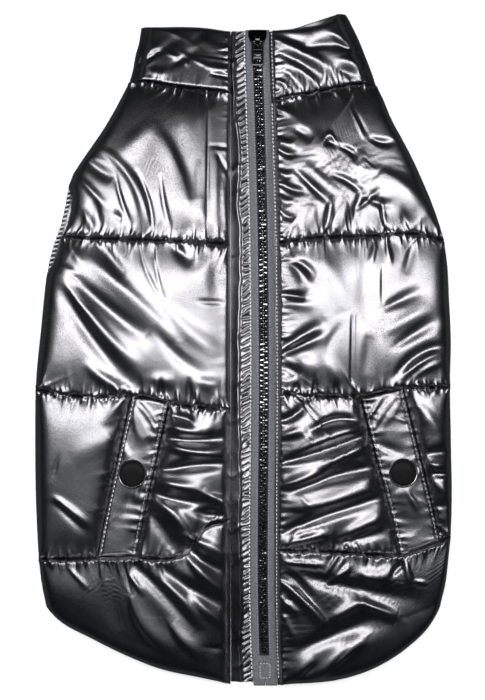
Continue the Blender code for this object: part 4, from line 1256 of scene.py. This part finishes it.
# ------------------------------------------------------------------ back panels
# x0, y0, x1, y1, bow to the right of the way, height (minus for a crease), half width, lean
LEFT_FOLDS = (
    (-18.7, 132, -19.2, 60, 0, -0.9, 0.9, 0), (-14.5, 108, -14.5, 66, 0, 0.8, 2.6, 0.3),
    (-24, 99, -23.5, 66, 0, 0.7, 2.4, 0), (-33, 120, -26, 80, 2, -1.8, 6.0, 0),
    (-46, 118, -29, 66, -4, 1.7, 4.5, 0.3), (-50, 120, -66, 101, 0, 1.3, 5.0, 0),
    (-73, 106, -52, 62, -6, 1.7, 2.6, 0), (-68, 93, -59, 65, 1, -1.1, 1.3, 0),
    (-57, 95, -48, 64, -2, -1.1, 1.3, 0), (-84, 102, -69, 91, 1, -1.7, 3.0, 0),
    (-87, 92, -73, 76, 0, 1.3, 1.7, 0), (-85, 75, -80, 64, 0, 1.2, 2.0, 0),
    (-79, 79, -76, 64, 0, -1.4, 2.5, 0), (-69, 73, -64, 69, 0, -1.0, 1.8, 0),
    (-18, 109, -7, 108, 0, -0.6, 1.0, 0), (-15, 106, -6, 91, 0, -0.7, 1.0, 0),
    (-44, 92, -38, 62, 1, -1.0, 1.6, 0), (-11, 90, -10, 70, 0, 0.5, 1.3, 0),
    (-93, 57, -85, 45, 0, 1.3, 2.2, 0), (-98, 46, -88, 40, 0, 0.9, 1.3, 0),
    (-97, 44, -87, 34, 0, 0.9, 1.3, 0), (-90, 39, -53, 7, 1, -2.6, 4.0, 0),
    (-96, 40, -57, -8, 2, 2.2, 3.4, 0.2), (-93, 37, -82, 22, 0.5, -0.6, 0.9, 0),
    (-95, 31, -58, -18, 3, -2.6, 4.2, 0), (-83, -8, -58, -23, 2, 2.0, 3.0, 0),
    (-78, 58, -63, 39, 0, -2.0, 3.2, 0), (-84, 51, -36, 5, -1, 1.9, 4.6, 0.2),
    (-55, 55, -43, 27, 2, -0.8, 1.0, 0), (-48, 55, -42, 27, 1, -0.8, 1.0, 0),
    (-38, 56, -27, 46, 0, -1.8, 3.0, 0), (-15, 48, -14, 26, 0, -1.2, 4.6, 0),
    (-24, 26, -11, 25.5, 0, -0.9, 1.1, 0), (-40, 22, -12, -2, 2, 1.3, 4.5, 0),
    (-46, 10, -20, -14, 2, -1.4, 3.5, 0), (-55, -16, -55, -26, 0, -1.2, 1.8, 0),
    (-44, -15, -44, -26, 0, -1.2, 1.8, 0), (-29, -16, -29, -28, 0, -1.3, 1.8, 0),
    (-50, -15, -36, -17, 0, 1.3, 3.0, 0), (-24, -17, -12, -18, 0, 1.3, 3.0, 0),
    (-35, -21, -35, -29, 0, 1.1, 1.5, 0), (-24.5, -21, -24.5, -29, 0, 1.1, 1.5, 0),
    (-14, -22, -14, -30, 0, 1.1, 1.5, 0),
    (-98, -55, -102, -69, 0, -0.7, 1.0, 0), (-101, -78, -82, -94, 0, 1.4, 1.8, -0.2),
    (-100, -82, -84, -97, 0, -1.1, 2.0, 0), (-61, -29, -72, -44, 0, -1.7, 3.0, 0),
    (-66, -46, -90, -60, 2, 0.8, 6.0, 0), (-38, -35, -26, -39, -1, -1.6, 1.9, 0),
    (-44, -39, -26, -44, 0, 1.7, 2.4, 0), (-42, -47, -6, -46, 1.5, -2.4, 3.2, 0),
    (-39, -51, -8, -56, 1, 2.5, 3.2, -0.2), (-43, -64, -7, -60, -1, -2.8, 3.4, 0),
    (-46, -69, -22, -74, 1, 2.3, 3.0, -0.2), (-49, -76, -18, -82, 1, -2.5, 3.4, 0),
    (-24, -75, -6, -83, 0, 1.6, 2.2, 0), (-44, -80, -29, -99, -1, 2.0, 2.6, 0.2),
    (-51, -83, -38, -105, 0, -2.2, 3.5, 0), (-27, -86, -7, -90, 0, -2.0, 3.0, 0),
    (-34, -98, -6, -111, -1, 1.8, 2.0, 0), (-31, -105, -8, -120, 1, -2.2, 3.0, 0),
    (-60, -131, -35, -163, 5, 2.9, 4.6, -0.35), (-39, -146, -22, -164, 1.5, 2.1, 3.0, -0.3),
    (-43, -123, -24, -146, -1, 2.3, 2.6, -0.2), (-27, -130, -10, -147, 1, 2.1, 3.0, -0.2),
    (-29, -111, -8, -131, 1, 2.5, 3.0, -0.2), (-59, -114, -26, -149, -1, -2.6, 3.6, 0),
    (-43, -116, -10, -138, 1, -2.8, 3.8, 0), (-60, -120, -54, -129, 0, 1.2, 1.4, 0),
    (-64, -114, -60, -130, 0, -0.8, 1.0, 0), (-94, -115, -83, -127, 0, 0.8, 1.4, 0),
    (-70, -122, -66, -150, 2, -1.0, 5.0, 0), (-22, -158, -2, -161, 0, -1.0, 1.0, 0.4),
    (-12, -161, -8, -178, 0, -1.2, 1.3, 0))
RIGHT_FOLDS = (
    (42, 111, 49, 111, -3.5, 1.3, 1.4, 0), (43.5, 109.5, 48, 109.5, -1.0, -1.0, 1.3, 0),
    (28, 96, 46, 78.5, 0.5, -1.5, 2.2, 0), (33, 99, 51, 82, 0.5, 0.9, 3.4, 0),
    (48, 93, 63, 83, -1.5, -1.1, 2.0, 0), (57, 128.5, 63.5, 113.5, 0, 0.6, 0.8, 0),
    (60, 127, 66, 114, 0, -0.5, 0.9, 0), (60.4, 75, 71, 84.5, 0, 1.3, 1.3, 0),
    (72, 95, 94, 77, -2, 1.7, 6.0, 0.3), (73.5, 79, 75.5, 63, 0, -1.3, 1.6, 0),
    (46.5, 80, 44, 62, 0, -1.7, 2.3, 0), (62.5, 84, 58.5, 67, 0, -1.5, 2.6, 0),
    (37, 78, 34, 62, 0, 1.2, 3.2, 0), (54, 79, 51, 62, 0, 1.3, 2.8, 0),
    (64, 82, 79, 77, 1, -1.3, 2.2, 0), (84, 74, 88, 66, 0, -1.2, 2.4, 0),
    (68, 112.5, 79, 110.5, 1, -1.5, 1.8, 0), (52, 108, 60, 101, -1.5, -1.2, 1.6, 0),
    (60, 106, 66, 92, 1, 1.0, 5.0, 0), (34, 116, 44, 100, -2, 1.3, 5.0, 0),
    (28, 118, 37, 112, 0, -1.6, 2.6, 0), (17, 129, 26, 126, 0, 1.0, 2.0, 0),
    (18, 113, 27, 109, 1, 1.4, 2.6, 0), (19, 107, 28, 104, 1, -1.4, 1.8, 0),
    (18, 96, 26, 93, 1, 1.3, 2.4, 0), (19, 90, 32, 84, 1, -1.4, 2.0, 0),
    (18, 82, 26, 78, 1, 1.2, 2.6, 0), (19, 75, 27, 70, 1, -1.2, 1.8, 0),
    (24, 48, 38, 38, -2, -2.2, 2.6, 0), (21, 51, 33, 31, -3, 1.8, 3.0, 0),
    (22, 30, 33, 27.5, 0, -1.9, 2.0, 0), (20, 24, 38, 24, -1, 1.3, 3.4, 0),
    (20, 1, 41, 14, 0, -2.4, 2.8, 0), (21, -2, 42, 8, 0, 1.8, 2.2, 0),
    (30, -3, 38, -13, 0, 1.4, 4.0, 0), (22, -8, 30, -14, 0, -1.5, 2.6, 0),
    (57.6, 18, 57.4, -17, 0, -1.1, 1.0, 0), (60.0, 18, 59.8, -15, 0, -0.8, 0.9, 0),
    (66, 54, 68, 10, 2, -1.2, 5.5, 0), (67, 8, 66, -13, 0, -1.3, 4.0, 0),
    (73.7, 44, 73.7, 25, 0, -0.8, 1.0, 0), (74, 22, 94, 32, 0, -1.6, 3.0, 0),
    (76, 10, 100, 24, 0, 1.3, 4.0, 0), (80, 2, 103, 17, 0, -1.6, 3.0, 0),
    (80, -14, 110, 3, -4, -2.2, 3.0, 0), (85, -14, 103, -1, -1, 1.8, 2.0, 0),
    (91, -14, 106, -6, -1, 1.4, 1.6, 0), (42, 50, 52, 20, -2, 1.1, 5.0, 0),
    (44, -6, 52, -18, 0, 1.1, 3.4, 0), (50, 12, 44, -4, 1, -1.0, 2.6, 0),
    (28, -17, 28, -24, 0, -1.2, 1.8, 0), (38, -16, 38, -24, 0, -1.2, 1.8, 0),
    (49, -17, 49, -24, 0, -1.2, 1.8, 0), (70, 57, 67, 45, 0, 1.2, 1.6, 0),
    (76, 57, 78, 46, 0, 1.2, 1.6, 0), (90, 56, 86, 40, 0, -1.2, 2.6, 0),
    (20, -38, 33, -29, 1, -2.0, 2.4, 0), (37, -42, 63, -39, -3.5, -2.5, 2.5, 0),
    (30, -53, 65, -41, -1, 2.8, 3.8, -0.3), (20, -60, 66, -44, 1, -2.8, 2.8, 0),
    (42, -62, 68, -49, 0, 2.1, 2.7, -0.2), (20, -73, 42, -66, 0, 2.6, 2.9, -0.3),
    (25, -76, 71, -62, -2, -3.0, 3.4, 0), (28, -84, 74, -69, 3, 2.8, 4.4, -0.3),
    (22, -97, 74, -78, -1, -2.8, 3.2, 0), (53, -99, 78, -85, 1, 2.5, 3.2, -0.2),
    (21, -104, 46, -98, 0, 2.1, 2.0, -0.2), (48, -104, 78, -96, 0, -1.8, 2.6, 0),
    (32, -29, 60, -63, 0, 0.5, 0.8, 0), (30, -43, 51, -62, 0, 0.4, 0.8, 0),
    (30, -77, 36, -84, 0, 0.5, 0.8, 0), (20, -46, 32, -42, 0, 1.5, 2.6, 0),
    (97, -60, 105, -62, 0, 1.8, 1.6, 0), (97, -55, 111, -54, 0, -2.6, 3.4, 0),
    (97, -66, 110, -66, 0, -2.0, 2.0, 0), (98, -70, 110, -76, 0, 1.5, 2.4, 0),
    (90, -26, 104, -44, 0, 1.4, 3.0, 0), (98, -82, 109, -84, 0, -1.2, 2.4, 0),
    (21, -124, 44, -147, -1.5, 2.7, 2.5, 0.3), (20, -132, 29, -141, 0, 1.8, 2.0, 0.2),
    (21, -140, 27, -155, 0, 1.3, 1.6, 0), (24, -119, 36, -134, -1, -2.2, 2.6, 0),
    (45, -118, 51, -109, 0, 1.3, 1.3, 0), (48, -119, 54, -110, 0, 1.3, 1.3, 0),
    (46, -124, 57, -115, 0, 1.7, 1.8, 0), (22, -113, 43, -114, 0, 1.1, 1.3, 0),
    (30, -120, 92, -133, 1, -2.8, 4.6, 0), (62, -119, 80, -118, 2, 2.2, 4.0, 0),
    (48, -143, 63, -134, 0, 2.5, 2.8, -0.2), (62, -134, 82, -142, 0, 2.5, 2.8, 0.2),
    (30, -161, 71, -143, -1, -3.2, 4.4, 0), (24, -176, 38, -165, 0, 2.4, 3.0, -0.2),
    (39, -175, 64, -155, 0, 2.8, 3.0, -0.3), (31, -175, 39, -168, 0, -1.3, 1.2, 0),
    (44, -171, 56, -160, 0, -1.0, 1.0, 0), (54, -163, 88, -144, 0, 1.0, 7.0, 0),
    (86, -111, 89, -125, 0, 1.7, 1.9, 0), (79, -120, 85, -113, 0, -1.8, 1.8, 0),
    (92, -123, 97, -124, 0, 0.9, 1.0, 0))
COLLAR_LEFT_FOLDS = (
    (-54, 174, -28, 165, -2, 1.2, 1.1, 0), (-59, 152, -42, 164, -1.5, 2.0, 2.0, 0),
    (-56, 152, -35, 167, -1, -2.2, 2.4, 0), (-60, 150, -46, 158, 1, 1.2, 1.3, 0),
    (-53, 160, -45, 164, 0, 1.5, 2.4, 0), (-43, 161, -35, 157, 0, 1.1, 1.3, 0),
    (-38, 153, -24, 162, 0, -2.0, 2.4, 0), (-34, 160, -29, 157, 0, 1.6, 1.7, 0),
    (-33, 157, -30, 153, 0, 1.2, 1.0, 0), (-27, 156, -19, 152, 0, 0.9, 1.2, 0),
    (-24, 168, -11, 160, 0, 1.0, 3.0, 0), (-28, 165, -18, 174, 0, -1.5, 2.6, 0),
    (-19, 152, -8, 150, 0, 1.5, 2.2, 0), (-17, 148, -9, 147, 0, -1.2, 1.4, 0),
    (-9.5, 165, -7, 158, 0, 1.0, 1.2, 0), (-50, 150, -40, 149, 1, 1.2, 2.4, 0))
COLLAR_RIGHT_FOLDS = (
    (18, 166, 50, 148, -1, 2.7, 3.2, 0.2), (20, 159, 47, 144, -1, -2.3, 2.6, 0),
    (32, 161, 63, 158, -4, -2.5, 2.8, 0), (36, 172, 48, 176, 0, 2.0, 5.0, 0.2),
    (19, 169, 34, 164, 0, -2.0, 2.8, 0), (27, 152, 41, 139, -1.5, 2.3, 2.3, 0.2),
    (22, 150, 33, 138, -1, -1.8, 2.2, 0), (45, 170, 54, 165, -1, 1.8, 1.8, 0),
    (48, 166, 62, 158, 0, -1.4, 1.4, 0), (56, 167, 63, 159, 0, 1.5, 1.4, 0),
    (51, 156, 69, 149, -1.5, 2.2, 2.3, 0.2), (50, 151, 61, 147, 0, -2.2, 2.0, 0),
    (18, 145, 26, 137, -1, 2.0, 1.8, 0), (44, 148, 42, 141, 0, 1.6, 1.8, 0),
    (48, 148, 50, 142, 0, 1.3, 1.4, 0))
LEFT_WELT_FOLDS = (
    (-55, -27, -44, -44, -1.0, 0.9, 0.8, 0), (-57, -29, -46, -46, -1.5, 0.9, 0.8, 0),
    (-60, -28, -50, -52, 1, 1.3, 3.2, 0), (-66, -47, -62, -58, 0, 1.0, 1.6, 0),
    (-52, -46, -48, -56, 0, -0.9, 2.6, 0), (-70, -72, -74, -88, 0, 1.0, 1.5, 0),
    (-60, -76, -68, -96, 0, -0.9, 4.0, 0), (-56, -70, -58, -82, 0, 0.8, 1.8, 0))
RIGHT_WELT_FOLDS = (
    (70, -42, 81, -25, -1, 1.1, 1.4, 0), (66, -38, 74, -25, 0, 0.9, 1.1, 0),
    (75, -40, 84, -27, 0, 0.8, 2.0, 0), (72, -50, 86, -56, 0, -1.0, 3.0, 0),
    (88, -40, 92, -52, 0, 0.8, 1.2, 0), (80, -78, 90, -74, 0, 0.9, 3.0, 0),
    (88, -76, 94, -86, 0, 0.9, 1.6, 0), (82, -86, 92, -98, 0, -0.9, 5.0, 0))
BELLY_FOLDS = (
    (-96, 20, -50, -14, 3, 0.9, 7.0, 0), (-60, 96, -8, 66, 4, 0.8, 6.0, 0),
    (20, 40, 74, 6, -4, 0.9, 7.0, 0), (40, 120, 62, 70, 2, 0.8, 6.0, 0),
    (-30, -20, 30, -46, 3, 0.9, 8.0, 0), (-90, -60, -40, -84, 2, 0.8, 6.0, 0),
    (60, -40, 100, -78, -3, 0.9, 7.0, 0), (-20, 128, 30, 108, 2, 0.7, 6.0, 0))
# x, y, half width, half length, how crumpled the cloth is there
LEFT_CRUMPLES = ((-40, 90, 40, 20, 0.1), (-25, -62, 26, 30, 0.2), (-40, -140, 40, 30, 0.1))
RIGHT_CRUMPLES = ((52, 90, 34, 34, 0.3), (40, -62, 28, 34, 0.2), (50, -130, 36, 26, 0.3))


def crumple_at(spots, x, y):
    """How crumpled the cloth is at these plan points."""
    total = np.zeros_like(x)
    for cx, cy, wide, long, much in spots:
        total += much * np.exp(-((x - cx) / wide) ** 2 - ((y - cy) / long) ** 2)
    return total


WELT_BAFFLE = 2
LAST_BAFFLE = len(BAFFLES) - 1


def baffle_height(baffle, plan, away, plain, seed, zip_swell, zip_walls, zip_margin, folds):
    """How thick a baffle is, and how far it has swollen from its edges, from 0 to 1."""
    x, y = plan[..., 0], plan[..., 1]
    to_top, to_bottom, to_zip, to_side = away
    loft, swell_down, swell_up = BAFFLES[baffle]
    lifts = []
    for lift, least, off, number in zip(SEAM_LIFTS[baffle], (0.3, 0.0), (to_top, to_bottom),
                                        (31, 32)):
        bridged = SEAM_BRIDGE * mottle(x, 0 * y, 2.4, seed + number + baffle)
        lifts.append(np.clip(lift + bridged * np.exp(-(off / 2.0) ** 2), least, 1.0))
    high_lift, low_lift = lifts
    if baffle == WELT_BAFFLE:
        low_lift = low_lift + (PLAIN_LIFT - low_lift) * plain
    if baffle == LAST_BAFFLE:
        high_lift = high_lift + (PLAIN_LIFT - high_lift) * plain
        below = brim(to_bottom, swell_up)
        edge = np.where(to_bottom < to_top, HEM_Z, SEAM_Z)
    else:
        below = low_lift + (1 - low_lift) * swelling(to_bottom, swell_up)
        edge = SEAM_Z
    above = high_lift + (1 - high_lift) * swelling(to_top, swell_down, share=TOP_SHARES[baffle])
    swell = (above * below * brim(to_side, SIDE_SWELL)
             * swelling(np.maximum(to_zip - zip_margin, 0), zip_swell, zip_walls[baffle],
                        ZIP_SHARE))
    uneven = 1 + 0.08 * mottle(x, y, 34, seed + 5)
    thick = edge + (loft - edge) * swell * uneven
    thick += 0.8 * (1 - rise(to_zip, 9)) - (SEAM_Z - 0.9) * (1 - rise(to_side, 16))
    bold = FOLD_BOLDNESS[baffle] * np.sqrt(swell) * rise(to_top, 5) * rise(to_bottom, 5)
    thick += fold_height(folds, x, y) * bold - BAFFLE_FALL[baffle] * to_top * swell
    return thick, swell


def held_down(thick, plan, welt_columns):
    """A baffle's height with its padding held down under the pocket welt."""
    first, second = welt_columns
    before = (np.arange(COLUMNS + 1) < first)[None, :, None]
    beside = apart(plan, np.where(before, plan[:, first:first + 1], plan[:, second:second + 1]))
    beside[:, first:second + 1] = 0
    bed = np.minimum(thick, WELT_BED)
    return bed + (thick - bed) * rise(beside, WELT_BESIDE)


def baffle_start(baffle, plan, away, seams, plain, crumpled, seed, zip_gather, welt_columns):
    """What the settling starts from, and the beads laid on after it: waviness, and the gathers
    at every line of stitches. The two seams are given as places along them and a length."""
    y = plan[..., 1]
    to_top, to_bottom, to_zip, to_side = away
    (above, above_length), (below, below_length) = seams
    start = np.stack([crumpled, 0 * crumpled], axis=-1)
    hidden = 1 - plain * (baffle == LAST_BAFFLE)
    start += gathers(above, to_top, above_length, seed + baffle * 2, 1.0,
                     LONG_FOLDS[baffle][0]) * hidden[..., None]
    if baffle != LAST_BAFFLE:
        hidden = 1 - plain * (baffle == WELT_BAFFLE)
        start += gathers(below, to_bottom, below_length, seed + baffle * 2 + 1, 1.0,
                         LONG_FOLDS[baffle][1]) * hidden[..., None]
    down = y[0, 0] - y
    long = abs(y[0, 0] - y[-1, 0])
    start += gathers(down, to_zip, long, seed + 40 + baffle, *zip_gather)
    start[..., 0] += 0.5 * puckers(down, to_side, long, SIDE_PUCKERS, seed + 50 + baffle)
    if baffle == WELT_BAFFLE:
        for column, welt_seed in zip(welt_columns, (70, 80)):
            off = apart(plan, plan[:, column:column + 1])
            start += gathers(down, off, long, seed + welt_seed, 0.6, 0.15)
    return start


def back_panel(name, seams, hem, zip_x_of, side_x_of, zip_swell, zip_walls, zip_margin, zip_gather,
               welt_columns, welt_parts, folds, spots, seed, plain_run=None):
    """A padded panel, quilted at its seams, settled into its folds. Returns its outer points."""
    lines = [seam_line(seam, zip_x_of, side_x_of) for seam in seams]
    hem_zip_y, hem_between = hem
    lines.append(Line([(zip_x_of(hem_zip_y), hem_zip_y), *hem_between,
                       (side_x_of(CORNER_Y), CORNER_Y)]))
    parts = [column_parts(), column_parts(), column_parts(welt_columns, welt_parts[0]),
             column_parts(welt_columns, welt_parts[1]), column_parts()]
    plans, heights, seeds, near, pins = [], [], [], [], []
    for baffle in range(len(BAFFLES)):
        top, bottom = lines[baffle], lines[baffle + 1]
        inner = edge_line(zip_x_of, top.at(0)[1], bottom.at(0)[1])
        outer = edge_line(side_x_of, top.at(1)[1], bottom.at(1)[1])
        plan = patch(top, bottom, inner, outer, parts[baffle], parts[baffle + 1], crowded(ROWS))
        plan = plan if baffle == 0 else plan[1:]
        x, y = plan[..., 0], plan[..., 1]
        away = (apart(plan, top.at(parts[baffle])), apart(plan, bottom.at(parts[baffle + 1])),
                apart(plan, plan[:, :1]), apart(plan, plan[:, -1:]))
        to_top, to_bottom, to_zip, to_side = away
        plain = np.zeros_like(x)
        if plain_run and baffle >= WELT_BAFFLE:
            a, b, c, d = plain_run
            plain = soft_ramp(x, a, b) * (1 - soft_ramp(x, c, d))
        thick, swell = baffle_height(baffle, plan, away, plain, seed, zip_swell, zip_walls,
                                     zip_margin, folds)
        pinned = np.zeros_like(x)
        pinned[:, 0] = pinned[:, -1] = 1
        pinned[-1] = 1
        if baffle == 0:
            pinned[0] = 1
        if baffle == WELT_BAFFLE:
            thick = held_down(thick, plan, welt_columns)
            pinned[:, welt_columns] = 1
        wander = mottle(x, y, 15, seed + 11) * 1.3 + mottle(x, y, 8, seed + 12) * 0.5
        crumple = crumple_at(spots, x, y)
        places = ((parts[baffle] * top.length + 0 * x, top.length),
                  (parts[baffle + 1] * bottom.length + 0 * x, bottom.length))
        plans.append(plan)
        heights.append(thick)
        seeds.append(baffle_start(baffle, plan, away, places, plain,
                                  wander * (0.25 + crumple) * swell, seed, zip_gather,
                                  welt_columns))
        to_seam = to_top if baffle == LAST_BAFFLE else np.minimum(to_top, to_bottom)
        near.append(np.stack([to_seam, to_zip, to_side, crumple], axis=-1))
        pins.append(pinned)
    plan = np.concatenate(plans)
    thick = np.concatenate(heights)
    start, beads = np.moveaxis(np.concatenate(seeds), -1, 0)
    to_seam, to_zip, to_side, crumple = np.moveaxis(np.concatenate(near), -1, 0)
    x, y = plan[..., 0], plan[..., 1]
    rest = rest_height(x, y)
    target = np.dstack([plan, rest + np.maximum(thick, LEAST_THICK)])
    free = 1 - np.concatenate(pins)[..., None]
    edge_wave = 0.5 * mottle(x, y, 5, seed + 21)
    target[..., 1] += edge_wave * (to_seam < 0.01) * (to_zip > 1) * (to_side > 1)
    begin = target.copy()
    begin[..., 2] += start * free[..., 0]
    spare_across = 0.003 + 0.04 * crumple + 0.11 * np.exp(-to_seam / 4)
    spare_down = (0.003 + 0.04 * crumple + 0.16 * zip_gather[0] * np.exp(-to_zip / 4)
                  + 0.02 * np.exp(-to_side / 6))
    hold = 0.006 + 0.03 * np.exp(-np.minimum(to_seam, to_zip) / 5)
    points = settle(begin, target, free, hold, spare_across, spare_down, rest + 0.7)
    points = smoothed(points, 1, 0.5)
    points[..., 2] += beads * free[..., 0]
    first, second = welt_columns
    flat = (slice(WELT_BAFFLE * ROWS + 1, (WELT_BAFFLE + 1) * ROWS), slice(first + 1, second))
    points[flat] = target[flat]
    lining = np.dstack([plan, rest])[:, ::LINING_STEP]
    piece = make_piece(name + "_cloth", *wall_mesh(points, lining, LINING_STEP), foil, "shell",
                       crease=SEAM_CREASE)
    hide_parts(name)
    return points


# ------------------------------------------------------------------ studio
WORLD_SHADES = (  # from straight down to straight up
    (0.0, (0.045, 0.05, 0.05)), (0.46, (0.08, 0.09, 0.09)),
    (0.53, (0.025, 0.027, 0.032)), (0.66, (0.010, 0.0115, 0.015)))
LAMPS = (  # place, size, power, colour; metres and watts
    ("wash", (0, 0, 1.6), (2.4, 2.4), 60, (1.0, 1.0, 1.0)),
    ("softbox_top", (-0.02, 0.0615, 0.36), (0.52, 0.167), 1.2, (1.0, 0.985, 0.98)),
    ("ceiling", (0.0, -0.02, 0.45), (0.8, 0.46), 0.2, (0.88, 0.94, 1.0)))
CAMERA_PLACE = (-0.00054, 0.00027, 0.906)
CAMERA_LENS = 85.7


def studio():
    """A pale floor, a dim surround, three lamps and the camera straight above."""
    floor = bpy.data.meshes.new("floor")
    floor.from_pydata([(-3, -3, 0), (3, -3, 0), (3, 3, 0), (-3, 3, 0)], [], [(0, 1, 2, 3)])
    ground = in_scene("floor", floor)
    finish = Finish("pale_floor")
    floor.materials.append(finish.shade(
        Base_Color=finish.between(finish.noise(12, 2.0), (0.86, 0.86, 0.865), (0.9, 0.9, 0.9)),
        Roughness=0.8))
    ground.visible_glossy = False
    world = bpy.data.worlds.new("studio")
    bpy.context.scene.world = world
    world.use_nodes = True
    tree = world.node_tree
    aim = make_node(tree, "ShaderNodeTexCoord", {}, (), "Generated")
    height = make_node(tree, "ShaderNodeSeparateXYZ", {}, (aim,), "Z")
    shade = make_node(tree, "ShaderNodeValToRGB", {"stops": WORLD_SHADES}, (0.5 + 0.5 * height,))
    tree.links.new(shade.socket, tree.nodes["Background"].inputs["Color"])
    for name, place, size, power, colour in LAMPS:
        light = bpy.data.lights.new(name, "AREA")
        light.shape = "RECTANGLE"
        light.size, light.size_y = size
        light.energy = power
        light.color = colour
        lamp = in_scene(name, light)
        lamp.location = place
        lamp.visible_camera = False
        lamp.visible_glossy = name != "wash"
    eye = bpy.data.cameras.new("camera")
    eye.lens = CAMERA_LENS
    eye.sensor_width = 36
    eye.clip_end = 10
    camera = in_scene("camera", eye)
    camera.location = CAMERA_PLACE
    bpy.context.scene.camera = camera
    bpy.context.scene.view_settings.view_transform = "Standard"


# ------------------------------------------------------------------ the whole coat
left_points = back_panel(
    "back_left", LEFT_SEAMS, LEFT_HEM, left_panel_x, left_back_x,
    zip_swell=20.0, zip_walls=(ZIP_WALL, ZIP_WALL, 4.5, 4.5), zip_margin=0,
    zip_gather=(0.12, 0.25), welt_columns=LEFT_WELT_COLUMNS, welt_parts=LEFT_WELT_PARTS,
    folds=LEFT_FOLDS, spots=LEFT_CRUMPLES, seed=100, plain_run=(-38, -32, -22, -17))
right_points = back_panel(
    "back_right", RIGHT_SEAMS, RIGHT_HEM, right_panel_x, right_back_x,
    zip_swell=24.0, zip_walls=(ZIP_WALL,) * 4, zip_margin=ZIP_MARGIN,
    zip_gather=(0.7, 0.4), welt_columns=RIGHT_WELT_COLUMNS, welt_parts=RIGHT_WELT_PARTS,
    folds=RIGHT_FOLDS, spots=RIGHT_CRUMPLES, seed=300)
collar_left = collar_half(
    COLLAR_TOP_LEFT, seam_line(LEFT_SEAMS[0], left_panel_x, left_back_x), COLLAR_SIDE_LEFT,
    left_panel_x, COLLAR_FOLD, COLLAR_LEFT_FOLDS, seed=500,
    neck_swell=(44, 0.3), seam_swell=(9, 1.0), seam_lift=0.5, margin=0, fullness=0.35)
collar_right = collar_half(
    COLLAR_TOP_RIGHT, seam_line(RIGHT_SEAMS[0], right_panel_x, right_back_x), COLLAR_SIDE_RIGHT,
    right_panel_x, -COLLAR_FOLD, COLLAR_RIGHT_FOLDS, seed=520,
    neck_swell=(6, 0.85), seam_swell=(40, 0.3), seam_lift=0.3, margin=ZIP_MARGIN, fullness=0.8)
collar(collar_left, collar_right)
belly()
guard_points = guard_strip()
zip_tapes()
tooth_row("zip_teeth_left", -1, 0.9)
tooth_row("zip_teeth_right", 1, 0.9 + TOOTH_PITCH / 2)
slider()
zip_pull()
zip_details(guard_points, right_points, collar_right)
left_welt = pocket_welt("left", left_points, LEFT_WELT_COLUMNS, LEFT_WELT_FOLDS, (1.0, 0.15), 600)
right_welt = pocket_welt("right", right_points, RIGHT_WELT_COLUMNS, RIGHT_WELT_FOLDS, (1.0, 0.6),
                         620)
snap("left", left_welt)
snap("right", right_welt)
studio()
